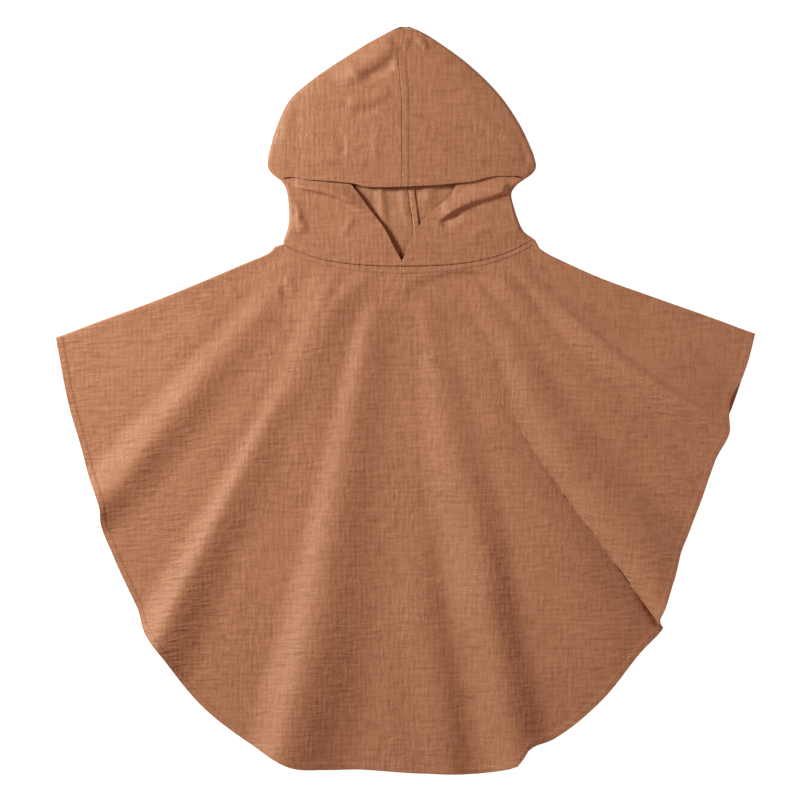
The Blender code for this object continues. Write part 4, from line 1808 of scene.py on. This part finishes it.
BODY_CREASES = (
    # the arc under the middle of the neck
    Crease(((-8, 88), (3, 98), (15, 107), (38, 115), (66, 117), (90, 109), (101, 94)),
           -1.7, 5, 22, (0.25, 0.25)),
    # wrinkles under the left end of the neck
    Crease(((-112, 118), (-106, 106), (-101, 96)), 1.2, 6, 5),
    Crease(((-120, 108), (-117, 97), (-113, 88)), 0.9, 5, 4),
    Crease(((-168, 107), (-160, 100), (-152, 94)), 0.9, 6, 5),
)
LAPEL_CREASES = (
    # the left lapel rolls outwards along its edge
    Crease(((-107, 203), (-92, 198), (-70, 193), (-50, 185), (-33, 173)), 3.9, 15, 3.0,
           (0.15, 0.35)),
    Crease(((-96, 195), (-72, 189), (-54, 181), (-38, 170)), -0.9, 3, 7, (0.2, 0.4)),
    # the right lapel rolls outwards over a deep hollow
    Crease(((103, 199), (84, 192), (62, 185), (44, 176), (33, 168)), 4.6, 5, 20, (0.12, 0.2)),
    Crease(((54, 177), (42, 170), (32, 163)), -2.6, 12, 4, (0.35, 0.3)),
    Crease(((50, 194), (62, 199), (78, 206)), -0.8, 3, 3, (0.2, 0.1)),
    # slack beside the left end of the neck
    Crease(((-104, 176), (-97, 166), (-90, 156)), 2.0, 6, 9),
    Crease(((-108, 186), (-100, 178), (-94, 168)), 1.2, 5, 5),
    # slack over the neck seam
    Crease(((60, 150), (72, 158), (88, 162)), 0.8, 6, 5),
    Crease(((-60, 150), (-52, 162), (-46, 174)), 0.7, 6, 5),
)
CROWN_CREASES = (
    # the hollow beside the tip and the ridges round it
    Crease(((-62, 292), (-50, 303), (-28, 318), (-6, 334)), 2.5, 16, 11, (0.25, 0.15)),
    Crease(((-40, 300), (-24, 305), (-8, 314)), -2.2, 9, 8, (0.3, 0.2)),
    Crease(((-53, 320), (-47, 306), (-41, 292)), 1.1, 7, 4, (0.3, 0.3)),
    Crease(((-57, 276), (-34, 279), (-8, 289)), 1.5, 9, 8, (0.2, 0.3)),
    Crease(((-50, 268), (-36, 269), (-22, 272)), -1.2, 5, 5),
    Crease(((12, 338), (18, 333), (22, 326)), 1.2, 5, 5),
    # slack in the sides
    Crease(((-108, 276), (-112, 250), (-112, 226)), 0.5, 9, 9),
    Crease(((-97, 286), (-99, 262), (-97, 238)), -0.4, 8, 9),
    Crease(((-90, 232), (-74, 226), (-52, 226)), 0.9, 7, 6),
    Crease(((-64, 258), (-58, 240), (-60, 222)), -0.7, 6, 7),
    Crease(((-30, 262), (-26, 240), (-30, 216)), 0.6, 8, 6),
    Crease(((33, 288), (44, 287), (56, 288)), -0.9, 2.5, 3),
    Crease(((20, 268), (48, 274), (84, 264)), 1.0, 9, 8),
    Crease(((46, 252), (72, 250), (100, 238)), -0.8, 6, 7),
    Crease(((24, 234), (54, 230), (92, 222)), 0.8, 8, 6),
    Crease(((108, 250), (114, 232), (115, 218)), -1.0, 6, 7),
)
BACK_CREASES = (
    Crease(((-24, 214), (-21, 190), (-17, 160)), 2.6, 4, 6, (0.05, 0.3)),
    Crease(((-4, 214), (-1, 190), (4, 160)), 1.8, 6, 4, (0.05, 0.3)),
    Crease(((26, 214), (23, 196), (20, 178)), 1.6, 12, 9, (0.05, 0.3)),
)


def sewn(name: str, lines: Sequence[Field], thread: Finish) -> bpy.types.Object:
    """Piece that holds the stitches along several lines.

    Args:
        name: Name of the piece.
        lines: Points along each line in millimetres, in the middle of the cloth.
        thread: Finish of the thread.

    Returns:
        The piece.
    """
    mesh = bmesh.new()
    row = StitchRow()
    to_face = np.array([0.0, 0.0, CLOTH / 2 + THREAD_LIFT])
    count = sum(row.add_to(mesh, line + to_face) for line in lines)
    LOG.info("%s: %d stitches", name, count)
    return finished_piece(name, mesh, thread)


def main() -> None:
    """Build the garment's pieces in order, then the studio."""
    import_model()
    gauze = GauzeFinish().material()
    thread = ThreadFinish().material()

    neck = NeckSeam()
    band = SewnBand()
    body = PonchoBody(neck, band, SewnBand(rise=0.45, dip=0.5), creases=BODY_CREASES)
    hood = Hood(
        neck, band, band, lapel_creases=LAPEL_CREASES, crown_creases=CROWN_CREASES,
        back_creases=BACK_CREASES,
    )

    cloth = body.build(gauze)
    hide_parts("poncho_body")
    halves, hood_lines = [], []
    for name, side, node in (
        ("hood_left_cloth", Side.LEFT, "hood_left"), ("hood_right_cloth", Side.RIGHT, "hood_right"),
    ):
        cut = HoodHalf(name, side, hood)
        half = cut.build(gauze)
        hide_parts(node)
        halves.append(half)
        hood_lines.extend(cut.stitch_lines())

    body_stitches = sewn("body_stitches", body.stitch_lines(), thread)
    hood_stitches = sewn("hood_stitches", hood_lines, thread)
    allowances = [NeckAllowance().lay(neck, gauze), HoodAllowance().lay(hood, gauze)]

    for piece in (cloth, *halves, body_stitches, hood_stitches, *allowances):
        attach(piece, "root")
        LOG.info("piece %s: %d faces", piece.name, len(piece.data.polygons))

    Studio().build()


if __name__ == "__main__":
    logging.basicConfig(level=logging.INFO)
    main()
